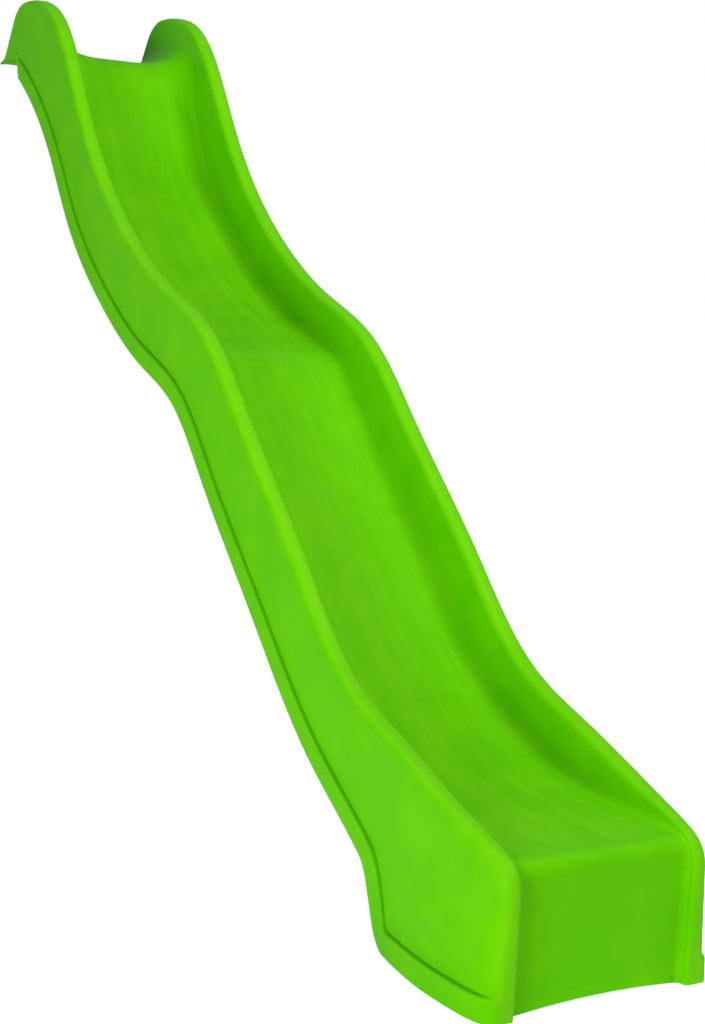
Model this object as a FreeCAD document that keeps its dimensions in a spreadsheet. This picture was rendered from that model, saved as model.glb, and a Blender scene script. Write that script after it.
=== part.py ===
import FreeCAD, Part
import os
from math import cos, radians, sin, tan

import Sketcher

# Wave slide for a play tower: a one-piece moulded chute, stiffened from below by steel bearers.
# The frame is +Z up, +Y uphill towards the deck and X across the slide. The origin is on the
# ground, midway between the front of the legs and the rear end of the lip. The working plane of
# the profile is YZ, with y = 0 on the face of the front panel until the parts are placed.

SIZES = [
    # alias, millimetres or degrees, what it is
    ("deck_height", 1500, "ground to the underside of the lip, which is the top of the deck"),
    ("sheet", 5, "wall thickness of the moulding"),
    ("channel_width", 312, "between the inner walls"),
    ("ridge_width", 36, "across the hollow side wall at its top"),
    ("ridge_round", 13, "fillet along both edges of the side wall's top"),
    ("band_proud", 12, "how far the edge band stands out from the skirt"),
    ("band_width", 38, "height of the edge band, square to the trimmed edge"),
    ("skirt_depth", 172, "ridge to trimmed edge, square to the ridge"),
    ("exit_height", 226, "ground to the bed at the front lip"),
    ("lip_roll", 22, "radius of the bed's roll into the front panel"),
    ("exit_slope", 3, "slope of the outlet"),
    ("exit_length", 206, "straight of the outlet"),
    ("runout_radius", 650, "hollow bend above the outlet"),
    ("main_slope", 44, "slope below the crest"),
    ("crest_radius", 160, "bend over the crest of the wave"),
    ("crest_slope", 15, "slope of the crest"),
    ("crest_length", 95, "straight above the crest"),
    ("trough_radius", 1100, "long hollow bend above the crest"),
    ("upper_slope", 38, "slope above the long bend"),
    ("upper_length", 144, "straight above the long bend"),
    ("steep_radius", 400, "short hollow bend below the top"),
    ("steep_slope", 60, "slope below the lip"),
    ("steep_length", 185, "straight below the lip"),
    ("top_radius", 90, "bend from the lip down into the slide"),
    ("lip_length", 280, "level bed from the top bend to the rear end"),
    ("deck_overlap", 155, "how far the lip reaches over the deck"),
    ("notch_depth", 36, "lip underside to the trimmed edge where the slide butts the deck"),
    ("wall_front", 7, "ridge above the bed at the front lip"),
    ("wall_exit", 38, "ridge above the bed on the outlet"),
    ("wall_runout", 76, "ridge above the bed at the foot of the run-out bend"),
    ("wall_slope", 92, "ridge above the bed on the main straight"),
    ("wall_crest", 72, "ridge above the bed on the crest"),
    ("wall_trough", 96, "ridge above the bed on the long bend"),
    ("wall_steep", 118, "ridge above the bed on the steep straight"),
    ("wall_shoulder", 104, "ridge above the bed where the lip begins"),
    ("hump_height", 124, "top of the side wall above the lip"),
    ("hump_radius", 90, "rounding of the hump's rear top"),
    ("hump_fall", 52, "slope of the hump's rear"),
    ("lip_tail", 30, "foot of the hump to the lip's rear end"),
    ("leg_proud", 18, "how far the legs stand in front of the panel"),
    ("leg_corner", 60, "rounding from the leg's front to the ridge"),
    ("ridge_front_slope", 24, "slope of the ridge where it leaves the leg"),
    ("arch_rise", 8, "rise of the front panel's lower edge"),
    ("box_length", 288, "front panel to the rear edge of the outlet box, at the ground"),
    ("box_rear_slope", 66, "slope of the box's rear edge"),
    ("box_rear_length", 78, "straight of the box's rear edge"),
    ("box_heel", 45, "rounding of the box's rear lower corner"),
    ("box_neck", 70, "hollow bend from the box's rear edge to the skirt"),
    ("flare_top", 175, "ground to where the box's sides start to lean out"),
    ("flare_front", 9, "how far the box's side leans out at the ground, at the legs' front"),
    ("flare_middle", 20, "the same, where the side bows out most"),
    ("flare_rear", 2, "the same, at the box's rear edge"),
    ("flare_place", 115, "front panel to where the side bows out most"),
    ("skirt_start_slope", 32, "slope of the trimmed edge behind the box"),
    ("skirt_end_slope", 27, "slope of the trimmed edge at the deck"),
    ("lip_hole", 8.5, "diameter of the lip's screw holes"),
    ("lip_hole_spacing", 200, "between the lip's screw holes"),
    ("lip_hole_inset", 60, "deck edge to the lip's screw holes"),
    ("bearer_first", 330, "front lip to the first bearer, along the bed"),
    ("bearer_rear", 227, "last bearer to the rear end of the lip, along the bed"),
    ("bearer_count", 7, "bearers under the bed"),
    ("bearer_depth", 20, "height of the bearer's flanges"),
    ("bearer_wide", 40, "bearer, along the bed"),
    ("bearer_steel", 2.5, "steel of the bearer"),
    ("end_clearance", 1.5, "bearer or tie to the skirt, each end"),
    ("rib_depth", 11, "moulded seat below the bed's underside"),
    ("rib_wide", 34, "moulded seat, along the bed"),
    ("rib_inset", 8, "end of the moulded seat to the inner wall"),
    ("screw_diameter", 5, "shank of the bearer and tie screws"),
    ("screw_bite", 9, "shank in the moulding"),
    ("screw_head", 10, "diameter of the screw head"),
    ("screw_head_tall", 3, "height of the screw head"),
    ("screw_spacing", 230, "between the screws of one bearer"),
    ("screw_clearance", 0.3, "steel's hole round the shank, on the radius"),
    ("pilot_clearance", 0.05, "moulding's hole round the shank, on the radius"),
    ("tie_leg", 30, "each flange of the foot tie's angle"),
    ("tie_steel", 3, "steel of the foot tie"),
    ("tie_setback", 60, "front panel to the middle of the tie's level flange"),
    ("tie_screw_inset", 23, "skirt to the foot tie's screws, across the slide"),
    ("lug_end", 30, "foot tie's screw to the inner end of its lug"),
    ("lug_wide", 26, "foot lug, along the slide"),
    ("lug_foot", 6, "ground to the bottom of the foot lug"),
    ("lug_tall", 16, "height of the foot lug"),
    ("anchor_hole", 11, "diameter of the ground anchor holes"),
    ("anchor_spacing", 180, "between the ground anchor holes"),
]

doc = FreeCAD.newDocument("wave_slide")
sheet = doc.addObject("Spreadsheet::Sheet", "sizes")
for row, (alias, number, meaning) in enumerate(SIZES, start=1):
    sheet.set(f"A{row}", meaning)
    sheet.set(f"B{row}", str(number))
    sheet.setAlias(f"B{row}", alias)
doc.recompute()

REACH = 3000.0  # longer than anything that a cutter has to clear
PROBE = 2.0  # how far an inner cutter passes an open edge
LUG_BURIED = 0.7  # outside of the skirt to the end of a foot lug, as a share of the sheet


def size(alias):
    """Return a driving size from the sheet."""
    return float(sheet.get(alias))


def point(y, z, x=0.0):
    """Return a point of the YZ profile."""
    return FreeCAD.Vector(x, y, z)


def heading_vector(heading):
    """Return the unit vector of a heading, in degrees above level, uphill."""
    return point(cos(radians(heading)), sin(radians(heading)))


def left_of(heading):
    """Return the unit vector square to a heading, on its upper side."""
    return point(-sin(radians(heading)), cos(radians(heading)))


class Leg:
    """One straight or one arc of a profile, walked from its start."""

    def __init__(self, start, heading, length=0.0, radius=0.0, turn_to=None):
        self.start = start
        self.heading = heading
        self.turn_to = heading if turn_to is None else turn_to
        self.radius = radius
        self.side = 1.0 if self.turn_to >= heading else -1.0
        self.length = length if turn_to is None else radius * abs(radians(self.turn_to - heading))

    def at(self, fraction):
        """Return the point and the heading at a fraction of the leg."""
        heading = self.heading + (self.turn_to - self.heading) * fraction
        if self.radius == 0.0:
            return self.start + heading_vector(heading) * (self.length * fraction), heading
        centre = self.start + left_of(self.heading) * (self.side * self.radius)
        return centre - left_of(heading) * (self.side * self.radius), heading

    def edge(self):
        """Return the leg as an edge."""
        end = self.at(1.0)[0]
        if self.radius == 0.0:
            return Part.makeLine(self.start, end)
        return Part.Arc(self.start, self.at(0.5)[0], end).toShape()


def walk(start, heading, steps, drop=0.0):
    """Chain straights (length,) and bends (radius, heading), all moved down by drop."""
    legs = []
    place = start - left_of(heading) * drop
    for step in steps:
        if len(step) == 1:
            leg = Leg(place, heading, length=step[0])
        else:
            radius, turn_to = step
            grown = radius + drop if turn_to > heading else radius - drop
            leg = Leg(place, heading, radius=grown, turn_to=turn_to)
        legs.append(leg)
        place, heading = leg.at(1.0)
    return legs


def bed_steps(main_length):
    """List the straights and bends of the bed, from the foot of the front panel to the lip's end."""
    panel_height = size("exit_height") - size("lip_roll") * cos(radians(size("exit_slope")))
    return [
        (panel_height,),
        (size("lip_roll"), size("exit_slope")),
        (size("exit_length"),),
        (size("runout_radius"), size("main_slope")),
        (main_length,),
        (size("crest_radius"), size("crest_slope")),
        (size("crest_length"),),
        (size("trough_radius"), size("upper_slope")),
        (size("upper_length"),),
        (size("steep_radius"), size("steep_slope")),
        (size("steep_length"),),
        (size("top_radius"), 0.0),
        (size("lip_length"),),
    ]


PANEL, LIP_ROLL, EXIT, RUNOUT, MAIN, CREST, CREST_TOP, TROUGH, UPPER, BEND, STEEP, TOP, LIP = range(13)

lip_top = size("deck_height") + size("sheet")
trial = walk(point(0.0, 0.0), 90.0, bed_steps(0.0))
main_length = (lip_top - trial[-1].at(1.0)[0].z) / sin(radians(size("main_slope")))
bed = walk(point(0.0, 0.0), 90.0, bed_steps(main_length))

lip_end = bed[LIP].at(1.0)[0].y
deck_edge = lip_end - size("deck_overlap")
leg_front = -size("leg_proud")
to_origin = FreeCAD.Placement(point(-(leg_front + lip_end) / 2.0, 0.0), FreeCAD.Rotation())

half_channel = size("channel_width") / 2.0
half_skirt = half_channel + size("ridge_width")
half_band = half_skirt + size("band_proud")


def above_bed(leg_index, fraction, height):
    """Return the point that stands square above the bed."""
    place, heading = bed[leg_index].at(fraction)
    return place + left_of(heading) * height


def spline(points, start_heading, end_heading):
    """Return a smooth curve through points that leaves and arrives at the given headings."""
    curve = Part.BSplineCurve()
    curve.interpolate(
        Points=points,
        InitialTangent=heading_vector(start_heading),
        FinalTangent=heading_vector(end_heading),
    )
    return curve


def beside(curve, place, distance):
    """Return the point square below a curve at the given place on it."""
    along = curve.tangent(curve.parameter(place))[0]
    return place + point(along.z, -along.y) * distance


# The hump's rear: a round top and a straight fall to the lip.
fall_angle = radians(size("hump_fall"))
round_drop = size("hump_radius") * (1.0 - cos(fall_angle))
fall_length = (size("hump_height") - round_drop) / sin(fall_angle)
hump_run = size("hump_radius") * sin(fall_angle) + fall_length * cos(fall_angle)
hump_top = point(lip_end - size("lip_tail") - hump_run, lip_top + size("hump_height"))

# The leg's rounded top corner, from the vertical front face to the ridge.
corner_slope = size("ridge_front_slope")
corner_end_y = leg_front + size("leg_corner") * (1.0 - sin(radians(corner_slope)))
corner_top = size("exit_height") + size("wall_front")
corner_start = point(leg_front, corner_top - size("leg_corner") * cos(radians(corner_slope)))

ridge_points = [
    point(corner_end_y, corner_top),
    above_bed(EXIT, 0.55, size("wall_exit")),
    above_bed(RUNOUT, 0.12, size("wall_runout")),
    above_bed(RUNOUT, 0.6, (size("wall_runout") + size("wall_slope")) / 2.0),
    above_bed(MAIN, 0.15, size("wall_slope")),
    above_bed(MAIN, 0.7, (size("wall_slope") + size("wall_crest")) / 2.0),
    above_bed(CREST, 0.4, size("wall_crest")),
    above_bed(TROUGH, 0.1, (size("wall_crest") + size("wall_trough")) / 2.0),
    above_bed(TROUGH, 0.6, size("wall_trough")),
    above_bed(UPPER, 0.5, (size("wall_trough") + size("wall_steep")) / 2.0),
    above_bed(STEEP, 0.15, size("wall_steep")),
    above_bed(TOP, 0.75, size("wall_shoulder")),
    hump_top,
]
ridge = spline(ridge_points, corner_slope, 0.0)
FIRST_SKIRT_POINT, LAST_SKIRT_POINT = 3, 10  # ridge points that the trimmed edge runs parallel to


def edges_of(legs):
    """Return the edges of a walked profile."""
    return [leg.edge() for leg in legs]


def polyline(points):
    """Return the straight edges that join points in turn."""
    return [Part.makeLine(first, second) for first, second in zip(points, points[1:])]


def ridge_edges(inset, low_z):
    """Return the outline from the leg's front over the hump down to a level, and its last point."""
    corner = Leg(corner_start + point(inset, 0.0), 90.0,
                 radius=size("leg_corner") - inset, turn_to=corner_slope)
    top = ridge
    if inset != 0.0:
        top = spline([beside(ridge, place, inset) for place in ridge_points], corner_slope, 0.0)
    hump = walk(hump_top, 0.0, [(size("hump_radius"), -size("hump_fall"))], inset)[0]
    fall_start, heading = hump.at(1.0)
    fall = Leg(fall_start, heading, length=(fall_start.z - low_z) / sin(fall_angle))
    return [corner.edge(), top.toShape(), hump.edge(), fall.edge()], fall.at(1.0)[0]


def skirt_edges(rise, front_y, end_y):
    """Return the lower outline from the front, along the ground and up to the deck edge.

    rise moves the line up into the skirt, square to itself. The ends come back with the edges.
    """
    heel_tangent = size("box_heel") * tan(radians(size("box_rear_slope") / 2.0))
    box = walk(point(size("box_length") - heel_tangent, 0.0), 0.0, [
        (size("box_heel"), size("box_rear_slope")),
        (size("box_rear_length"),),
        (size("box_neck"), size("skirt_start_slope")),
    ], -rise)
    parallel = ridge_points[FIRST_SKIRT_POINT:LAST_SKIRT_POINT + 1]
    places = [beside(ridge, place, size("skirt_depth") - rise) for place in parallel]
    notch = point(deck_edge, size("deck_height") - size("notch_depth") + rise)
    trim = spline([box[-1].at(1.0)[0]] + places + [notch],
                  size("skirt_start_slope"), size("skirt_end_slope"))
    start = point(front_y, rise)
    end = point(end_y, notch.z)
    edges = polyline([start, box[0].start]) + edges_of(box) + [trim.toShape()]
    if end_y > deck_edge:
        edges += polyline([notch, end])
    return edges, start, end


def slab(edges, low_x, high_x):
    """Return the solid between two planes across the slide, from a closed YZ outline."""
    face = Part.Face(Part.Wire(Part.__sortEdges__(edges)))
    face.translate(FreeCAD.Vector(low_x, 0.0, 0.0))
    return face.extrude(FreeCAD.Vector(high_x - low_x, 0.0, 0.0))


def runs_along(edge, wire):
    """Tell whether an edge lies on a YZ wire, whatever its place across the slide."""
    span = edge.LastParameter - edge.FirstParameter
    for fraction in (0.2, 0.8):
        place = edge.valueAt(edge.FirstParameter + span * fraction)
        if wire.distToShape(Part.Vertex(0.0, place.y, place.z))[0] > 0.01:
            return False
    return True


# Each form below is made twice: as the moulding's outside, with an inset of nothing, and as the
# space inside it, with an inset of one wall. The inside passes a little through every open edge.


def wall_outline(inset):
    """Return the side wall's outline, from the ridge to the skirt's edge, and its top edges."""
    low_z = lip_top if inset == 0.0 else size("deck_height") - PROBE
    top, rear_top = ridge_edges(inset, low_z)
    low, front_low, rear_low = skirt_edges(-PROBE if inset else 0.0, leg_front + inset, deck_edge)
    if inset == 0.0:
        rear = [rear_top, point(lip_end, lip_top), point(lip_end, size("deck_height")),
                point(deck_edge, size("deck_height")), rear_low]
    else:
        rear = [rear_top, point(deck_edge, low_z), rear_low]
    return top + low + polyline(rear) + polyline([front_low, top[0].Vertexes[0].Point]), top


def side_wall(inset):
    """Return the right side wall, its top edges rounded."""
    outline, top = wall_outline(inset)
    wall = slab(outline, half_channel + inset, half_skirt - inset)
    ridge_wire = Part.Wire(Part.__sortEdges__(top[:2]))
    rounded = [edge for edge in wall.Edges if runs_along(edge, ridge_wire)]
    return wall.makeFillet(size("ridge_round") - inset, rounded)


def middle_block(inset):
    """Return the moulding between the side walls, from the bed down to the skirt's edge."""
    bed_legs = walk(point(0.0, 0.0), 90.0, bed_steps(main_length), inset)
    bed_end = bed_legs[LIP].at(1.0)[0]
    low, front_low, rear_low = skirt_edges(-PROBE if inset else 0.0, inset, deck_edge)
    if inset == 0.0:
        rear = [bed_end, point(lip_end, size("deck_height")), point(deck_edge, size("deck_height")),
                rear_low]
    else:
        bed_legs[LIP] = Leg(bed_legs[LIP].start, 0.0, length=deck_edge - bed_legs[LIP].start.y)
        rear = [point(deck_edge, bed_end.z), rear_low]
    outline = edges_of(bed_legs) + low + polyline(rear)
    if inset != 0.0:
        outline += polyline([front_low, bed_legs[PANEL].start])
    return slab(outline, -half_channel - inset, half_channel + inset)


def edge_band(inset):
    """Return the right band that stands proud along the skirt's edge."""
    low, front_low, rear_low = skirt_edges(-PROBE if inset else 0.0, leg_front + inset, deck_edge)
    high, front_high, rear_high = skirt_edges(size("band_width") - inset, leg_front + inset, deck_edge)
    outline = low + high + polyline([front_low, front_high]) + polyline([rear_low, rear_high])
    return slab(outline, half_skirt - inset - size("sheet"), half_band - inset)


def lean(z, flare_alias):
    """Return how far the box's side leans out at a level, of one of the sizes for the ground."""
    return size(flare_alias) * (1.0 - z / size("flare_top"))


def bowed_line(z, x):
    """Return the curve along the box's side at a level, which bows out from x."""
    curve = Part.BSplineCurve()
    curve.interpolate([
        point(leg_front, z, x + lean(z, "flare_front")),
        point(size("flare_place"), z, x + lean(z, "flare_middle")),
        point(size("box_length"), z, x + lean(z, "flare_rear")),
    ])
    return curve


def leaning_side(high_z, low_z, x, thickness):
    """Return the solid under the box's leaning side, between two levels."""
    wires = []
    for z in (high_z, low_z):
        outer = bowed_line(z, x)
        ends = [outer.StartPoint, outer.EndPoint]
        inner = [point(end.y, z, x - thickness) for end in ends]
        wires.append(Part.Wire([outer.toShape()] + polyline([ends[1], inner[1], inner[0], ends[0]])))
    return Part.makeLoft(wires, True, True)


def box_flare(inset):
    """Return what the right side of the outlet box adds to the upright side wall and band."""
    low_z = -PROBE if inset else 0.0
    cutter = slab(wall_outline(inset)[0], 0.0, REACH)
    side = leaning_side(size("flare_top"), low_z, half_skirt - inset, size("sheet"))
    band = leaning_side(size("band_width") - inset, low_z, half_band - inset,
                        size("band_proud") + size("sheet"))
    return side.fuse(band).common(cutter)


def whole_form(inset):
    """Return the moulding's outside, or the space inside it."""
    right = side_wall(inset).fuse([edge_band(inset), box_flare(inset)])
    left = right.mirror(FreeCAD.Vector(), FreeCAD.Vector(1.0, 0.0, 0.0))
    form = middle_block(inset).fuse([right, left])
    if inset != 0.0:
        deck_wall = Part.makeBox(2.0 * REACH, inset, REACH,
                                 FreeCAD.Vector(-REACH, deck_edge - inset, size("deck_height") - REACH))
        form = form.cut(deck_wall)
    return form


def bed_station(distance):
    """Return the bed's top point and heading at a distance along it from the front lip."""
    left = distance
    for leg in bed[EXIT:]:
        if left <= leg.length:
            return leg.at(left / leg.length)
        left -= leg.length
    raise ValueError("the bed is shorter than its row of bearers")


bearer_row = sum(leg.length for leg in bed[EXIT:]) - size("bearer_first") - size("bearer_rear")


def bearer_seat(index):
    """Return the seat of a bearer, as a placement: the middle of its top, under the bed."""
    share = index / (size("bearer_count") - 1.0)
    place, heading = bed_station(size("bearer_first") + bearer_row * share)
    turn = FreeCAD.Rotation(FreeCAD.Vector(1.0, 0.0, 0.0), heading)
    below = size("sheet") + size("rib_depth")
    return FreeCAD.Placement(place - left_of(heading) * below, turn)


bearer_seats = [bearer_seat(index) for index in range(int(size("bearer_count")))]
tie_seat = FreeCAD.Placement(point(size("tie_setback"), size("lug_foot") + size("lug_tall")),
                             FreeCAD.Rotation())
lug_middle = half_skirt - size("tie_screw_inset")
lug_start = lug_middle - size("lug_end")
pilot_radius = size("screw_diameter") / 2.0 + size("pilot_clearance")


def pilot_hole(x, up):
    """Return a screw's pilot hole on a seat at the height of nothing, up into it or down."""
    return Part.makeCylinder(pilot_radius, size("screw_bite"), FreeCAD.Vector(x, 0.0, 0.0),
                             FreeCAD.Vector(0.0, 0.0, 1.0 if up else -1.0))


def seat_rib(place):
    """Return one moulded seat under the bed, with its pilot holes."""
    long_x = size("channel_width") - 2.0 * size("rib_inset")
    tall = size("rib_depth") + size("sheet") / 2.0
    corner = FreeCAD.Vector(-long_x / 2.0, -size("rib_wide") / 2.0, 0.0)
    rib = Part.makeBox(long_x, size("rib_wide"), tall, corner)
    for side in (-1.0, 1.0):
        rib = rib.cut(pilot_hole(side * size("screw_spacing") / 2.0, True))
    rib.Placement = place
    return rib


def foot_lug(side):
    """Return one moulded lug inside a skirt, which carries the foot tie."""
    ground_line = bowed_line(0.0, half_band).toShape()
    across = Part.makeLine(point(size("tie_setback"), 0.0), point(size("tie_setback"), 0.0, REACH))
    skirt_x = ground_line.distToShape(across)[1][0][0].x
    end_x = skirt_x - LUG_BURIED * size("sheet")
    corner = point(-size("lug_wide") / 2.0, -size("lug_tall"), lug_start)
    lug = Part.makeBox(end_x - lug_start, size("lug_wide"), size("lug_tall"), corner)
    lug = lug.cut(pilot_hole(lug_middle, False))
    if side < 0.0:
        lug = lug.mirror(FreeCAD.Vector(), FreeCAD.Vector(1.0, 0.0, 0.0))
    lug.translate(tie_seat.Base)
    return lug


def front_arch():
    """Return the low arch that is cut from the front panel's lower edge."""
    rise = size("arch_rise")
    radius = (half_channel ** 2 + rise ** 2) / (2.0 * rise)
    foot = FreeCAD.Vector(0.0, -PROBE, rise - radius)
    return Part.makeCylinder(radius, size("sheet") + 2.0 * PROBE, foot, FreeCAD.Vector(0.0, 1.0, 0.0))


def lip_hole(side):
    """Return one screw hole through the lip."""
    foot = FreeCAD.Vector(side * size("lip_hole_spacing") / 2.0, deck_edge + size("lip_hole_inset"),
                          size("deck_height") - PROBE)
    return Part.makeCylinder(size("lip_hole") / 2.0, size("sheet") + 2.0 * PROBE, foot)


def chute_shape():
    """Return the moulded chute, with y = 0 on the face of its front panel."""
    shell = whole_form(0.0).cut(whole_form(size("sheet")))
    shell = shell.cut([front_arch(), lip_hole(-1.0), lip_hole(1.0)])
    shell = shell.fuse([seat_rib(seat) for seat in bearer_seats] + [foot_lug(-1.0), foot_lug(1.0)])
    return shell.removeSplitter()


def add_chute():
    """Add the moulded chute. Its bent, hollow form has no feature of its own, so it is a shape."""
    chute = doc.addObject("Part::Feature", "chute")
    chute.Label = "chute"
    chute.Shape = chute_shape()
    chute.Placement = to_origin
    return chute


def new_body(name):
    """Add an empty body."""
    body = doc.addObject("PartDesign::Body", name)
    body.Label = name
    return body


def new_sketch(body, name, role):
    """Add a sketch on one of the body's own origin planes."""
    sketch = body.newObject("Sketcher::SketchObject", name)
    plane = next(item for item in body.Origin.OriginFeatures if item.Role == role)
    sketch.AttachmentSupport = [(plane, "")]
    sketch.MapMode = "FlatFace"
    return sketch


def constrain(sketch, kind, *places, expression=None, value=None):
    """Add a constraint, tied to the sheet where an expression is given."""
    arguments = list(places) if value is None else list(places) + [value]
    index = sketch.addConstraint(Sketcher.Constraint(kind, *arguments))
    if expression is not None:
        sketch.setExpression(f"Constraints[{index}]", expression)


START, END, CENTRE = 1, 2, 3
SKETCH_ORIGIN = -1


def draw_outline(sketch, corners):
    """Draw a closed outline of level and upright lines.

    Each corner is (x, y, x expression, y expression), and a pair of expressions fixes the corner
    from the sketch's origin. The first line is level, the next upright and so on.
    """
    count = len(corners)
    for index in range(count):
        first, second = corners[index], corners[(index + 1) % count]
        line = Part.LineSegment(FreeCAD.Vector(first[0], first[1], 0.0),
                                FreeCAD.Vector(second[0], second[1], 0.0))
        sketch.addGeometry(line)
    for index in range(count):
        constrain(sketch, "Coincident", index, END, (index + 1) % count, START)
        constrain(sketch, "Horizontal" if index % 2 == 0 else "Vertical", index)
    for index, (x, y, x_expression, y_expression) in enumerate(corners):
        if x_expression is not None:
            constrain(sketch, "DistanceX", SKETCH_ORIGIN, START, index, START,
                      expression=x_expression, value=x)
        if y_expression is not None:
            constrain(sketch, "DistanceY", SKETCH_ORIGIN, START, index, START,
                      expression=y_expression, value=y)


def draw_hole_pair(sketch, spacing_alias, radius, radius_expression):
    """Draw two circles on the sketch's X axis, evenly about its origin."""
    for side in (1.0, -1.0):
        x = side * size(spacing_alias) / 2.0
        circle = Part.Circle(FreeCAD.Vector(x, 0.0, 0.0), FreeCAD.Vector(0.0, 0.0, 1.0), radius)
        index = sketch.addGeometry(circle)
        sign = "" if side > 0.0 else "-"
        constrain(sketch, "DistanceX", SKETCH_ORIGIN, START, index, CENTRE,
                  expression=f"{sign}sizes.{spacing_alias} / 2", value=x)
        constrain(sketch, "DistanceY", SKETCH_ORIGIN, START, index, CENTRE, value=0.0)
        constrain(sketch, "Radius", index, expression=radius_expression, value=radius)


def pad_across(body, sketch, name):
    """Pad a section across the slide, from skirt to skirt less the end clearances."""
    pad = body.newObject("PartDesign::Pad", name)
    pad.Profile = sketch
    pad.SideType = "Symmetric"
    pad.setExpression("Length", "sizes.channel_width + 2 * (sizes.ridge_width - sizes.sheet"
                                " - sizes.end_clearance)")
    doc.recompute()
    return pad


def pocket_through(body, sketch, name):
    """Cut a sketch through the whole body, both ways."""
    pocket = body.newObject("PartDesign::Pocket", name)
    pocket.Profile = sketch
    pocket.SideType = "Symmetric"
    pocket.Type = "ThroughAll"
    return pocket


TIE_SCREW_X = "sizes.channel_width / 2 + sizes.ridge_width - sizes.tie_screw_inset"
HOLE_RADIUS = "sizes.screw_diameter / 2 + sizes.screw_clearance"
hole_radius = size("screw_diameter") / 2.0 + size("screw_clearance")


def add_bearer(index, seat):
    """Add one bearer: a steel channel, open below, with a screw hole near each end."""
    name = f"bearer_{index + 1}"
    body = new_body(name)
    half, depth, steel = size("bearer_wide") / 2.0, size("bearer_depth"), size("bearer_steel")
    section = new_sketch(body, f"{name}_section", "YZ_Plane")
    half_words, depth_words = "sizes.bearer_wide / 2", "sizes.bearer_depth"
    steel_words = "sizes.bearer_steel"
    draw_outline(section, [
        (-half, 0.0, f"-{half_words}", None),
        (half, 0.0, half_words, None),
        (half, -depth, None, f"-{depth_words}"),
        (half - steel, -depth, f"{half_words} - {steel_words}", None),
        (half - steel, -steel, None, f"-{steel_words}"),
        (steel - half, -steel, f"{steel_words} - {half_words}", None),
        (steel - half, -depth, None, f"-{depth_words}"),
        (-half, -depth, None, None),
    ])
    constrain(section, "PointOnObject", 0, START, SKETCH_ORIGIN)
    pad_across(body, section, f"{name}_pad")
    holes = new_sketch(body, f"{name}_holes", "XY_Plane")
    draw_hole_pair(holes, "screw_spacing", hole_radius, HOLE_RADIUS)
    body.Tip = pocket_through(body, holes, f"{name}_pocket")
    body.Placement = to_origin * seat
    return body


def add_tie():
    """Add the foot tie: a steel angle across the outlet box, with screw and anchor holes."""
    body = new_body("foot_tie")
    half, leg, steel = size("tie_leg") / 2.0, size("tie_leg"), size("tie_steel")
    section = new_sketch(body, "foot_tie_section", "YZ_Plane")
    draw_outline(section, [
        (-half, 0.0, "-sizes.tie_leg / 2", None),
        (half, 0.0, "sizes.tie_leg / 2", None),
        (half, leg, None, "sizes.tie_leg"),
        (half - steel, leg, "sizes.tie_leg / 2 - sizes.tie_steel", None),
        (half - steel, steel, None, "sizes.tie_steel"),
        (-half, steel, None, None),
    ])
    constrain(section, "PointOnObject", 0, START, SKETCH_ORIGIN)
    pad_across(body, section, "foot_tie_pad")
    screw_holes = new_sketch(body, "foot_tie_screw_holes", "XY_Plane")
    for side in (1.0, -1.0):
        x = side * lug_middle
        index = screw_holes.addGeometry(Part.Circle(FreeCAD.Vector(x, 0.0, 0.0),
                                                    FreeCAD.Vector(0.0, 0.0, 1.0), hole_radius))
        sign = "" if side > 0.0 else "-"
        constrain(screw_holes, "DistanceX", SKETCH_ORIGIN, START, index, CENTRE, value=x,
                  expression=f"{sign}({TIE_SCREW_X})")
        constrain(screw_holes, "DistanceY", SKETCH_ORIGIN, START, index, CENTRE, value=0.0)
        constrain(screw_holes, "Radius", index, value=hole_radius, expression=HOLE_RADIUS)
    pocket_through(body, screw_holes, "foot_tie_screw_pocket")
    doc.recompute()
    anchor_holes = new_sketch(body, "foot_tie_anchor_holes", "XY_Plane")
    draw_hole_pair(anchor_holes, "anchor_spacing", size("anchor_hole") / 2.0, "sizes.anchor_hole / 2")
    body.Tip = pocket_through(body, anchor_holes, "foot_tie_anchor_pocket")
    body.Placement = to_origin * tie_seat
    return body


def add_screw(name, x_words, steel_alias, up):
    """Add one pan-head screw at the seat's height of nothing, driven up or down through the steel."""
    direction = "" if up else "-"
    shank = doc.addObject("Part::Cylinder", f"{name}_shank")
    shank.setExpression("Radius", "sizes.screw_diameter / 2")
    shank.setExpression("Height", f"sizes.screw_bite + sizes.{steel_alias}")
    head = doc.addObject("Part::Cylinder", f"{name}_head")
    head.setExpression("Radius", "sizes.screw_head / 2")
    head.setExpression("Height", "sizes.screw_head_tall")
    for piece in (shank, head):
        piece.setExpression("Placement.Base.x", x_words)
    if up:
        shank.setExpression("Placement.Base.z", f"-sizes.{steel_alias}")
        head.setExpression("Placement.Base.z", f"-sizes.{steel_alias} - sizes.screw_head_tall")
    else:
        shank.setExpression("Placement.Base.z", "-sizes.screw_bite")
        head.setExpression("Placement.Base.z", f"sizes.{steel_alias}")
    screw = doc.addObject("Part::Fuse", name)
    screw.Base = shank
    screw.Tool = head
    return screw


def add_screw_pair(name, x_words, steel_alias, up, seat):
    """Add a node that holds the two screws of one bearer or of the tie, as separate solids."""
    pair = doc.addObject("Part::Compound", name)
    pair.Label = name
    pair.Links = [
        add_screw(f"{name}_right", x_words, steel_alias, up),
        add_screw(f"{name}_left", f"-({x_words})", steel_alias, up),
    ]
    pair.Placement = to_origin * seat
    return pair


nodes = [add_chute()]
for number, spot in enumerate(bearer_seats):
    nodes.append(add_bearer(number, spot))
    nodes.append(add_screw_pair(f"bearer_screws_{number + 1}", "sizes.screw_spacing / 2",
                                "bearer_steel", True, spot))
nodes.append(add_tie())
nodes.append(add_screw_pair("foot_tie_screws", TIE_SCREW_X, "tie_steel", False, tie_seat))
doc.recompute()

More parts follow.
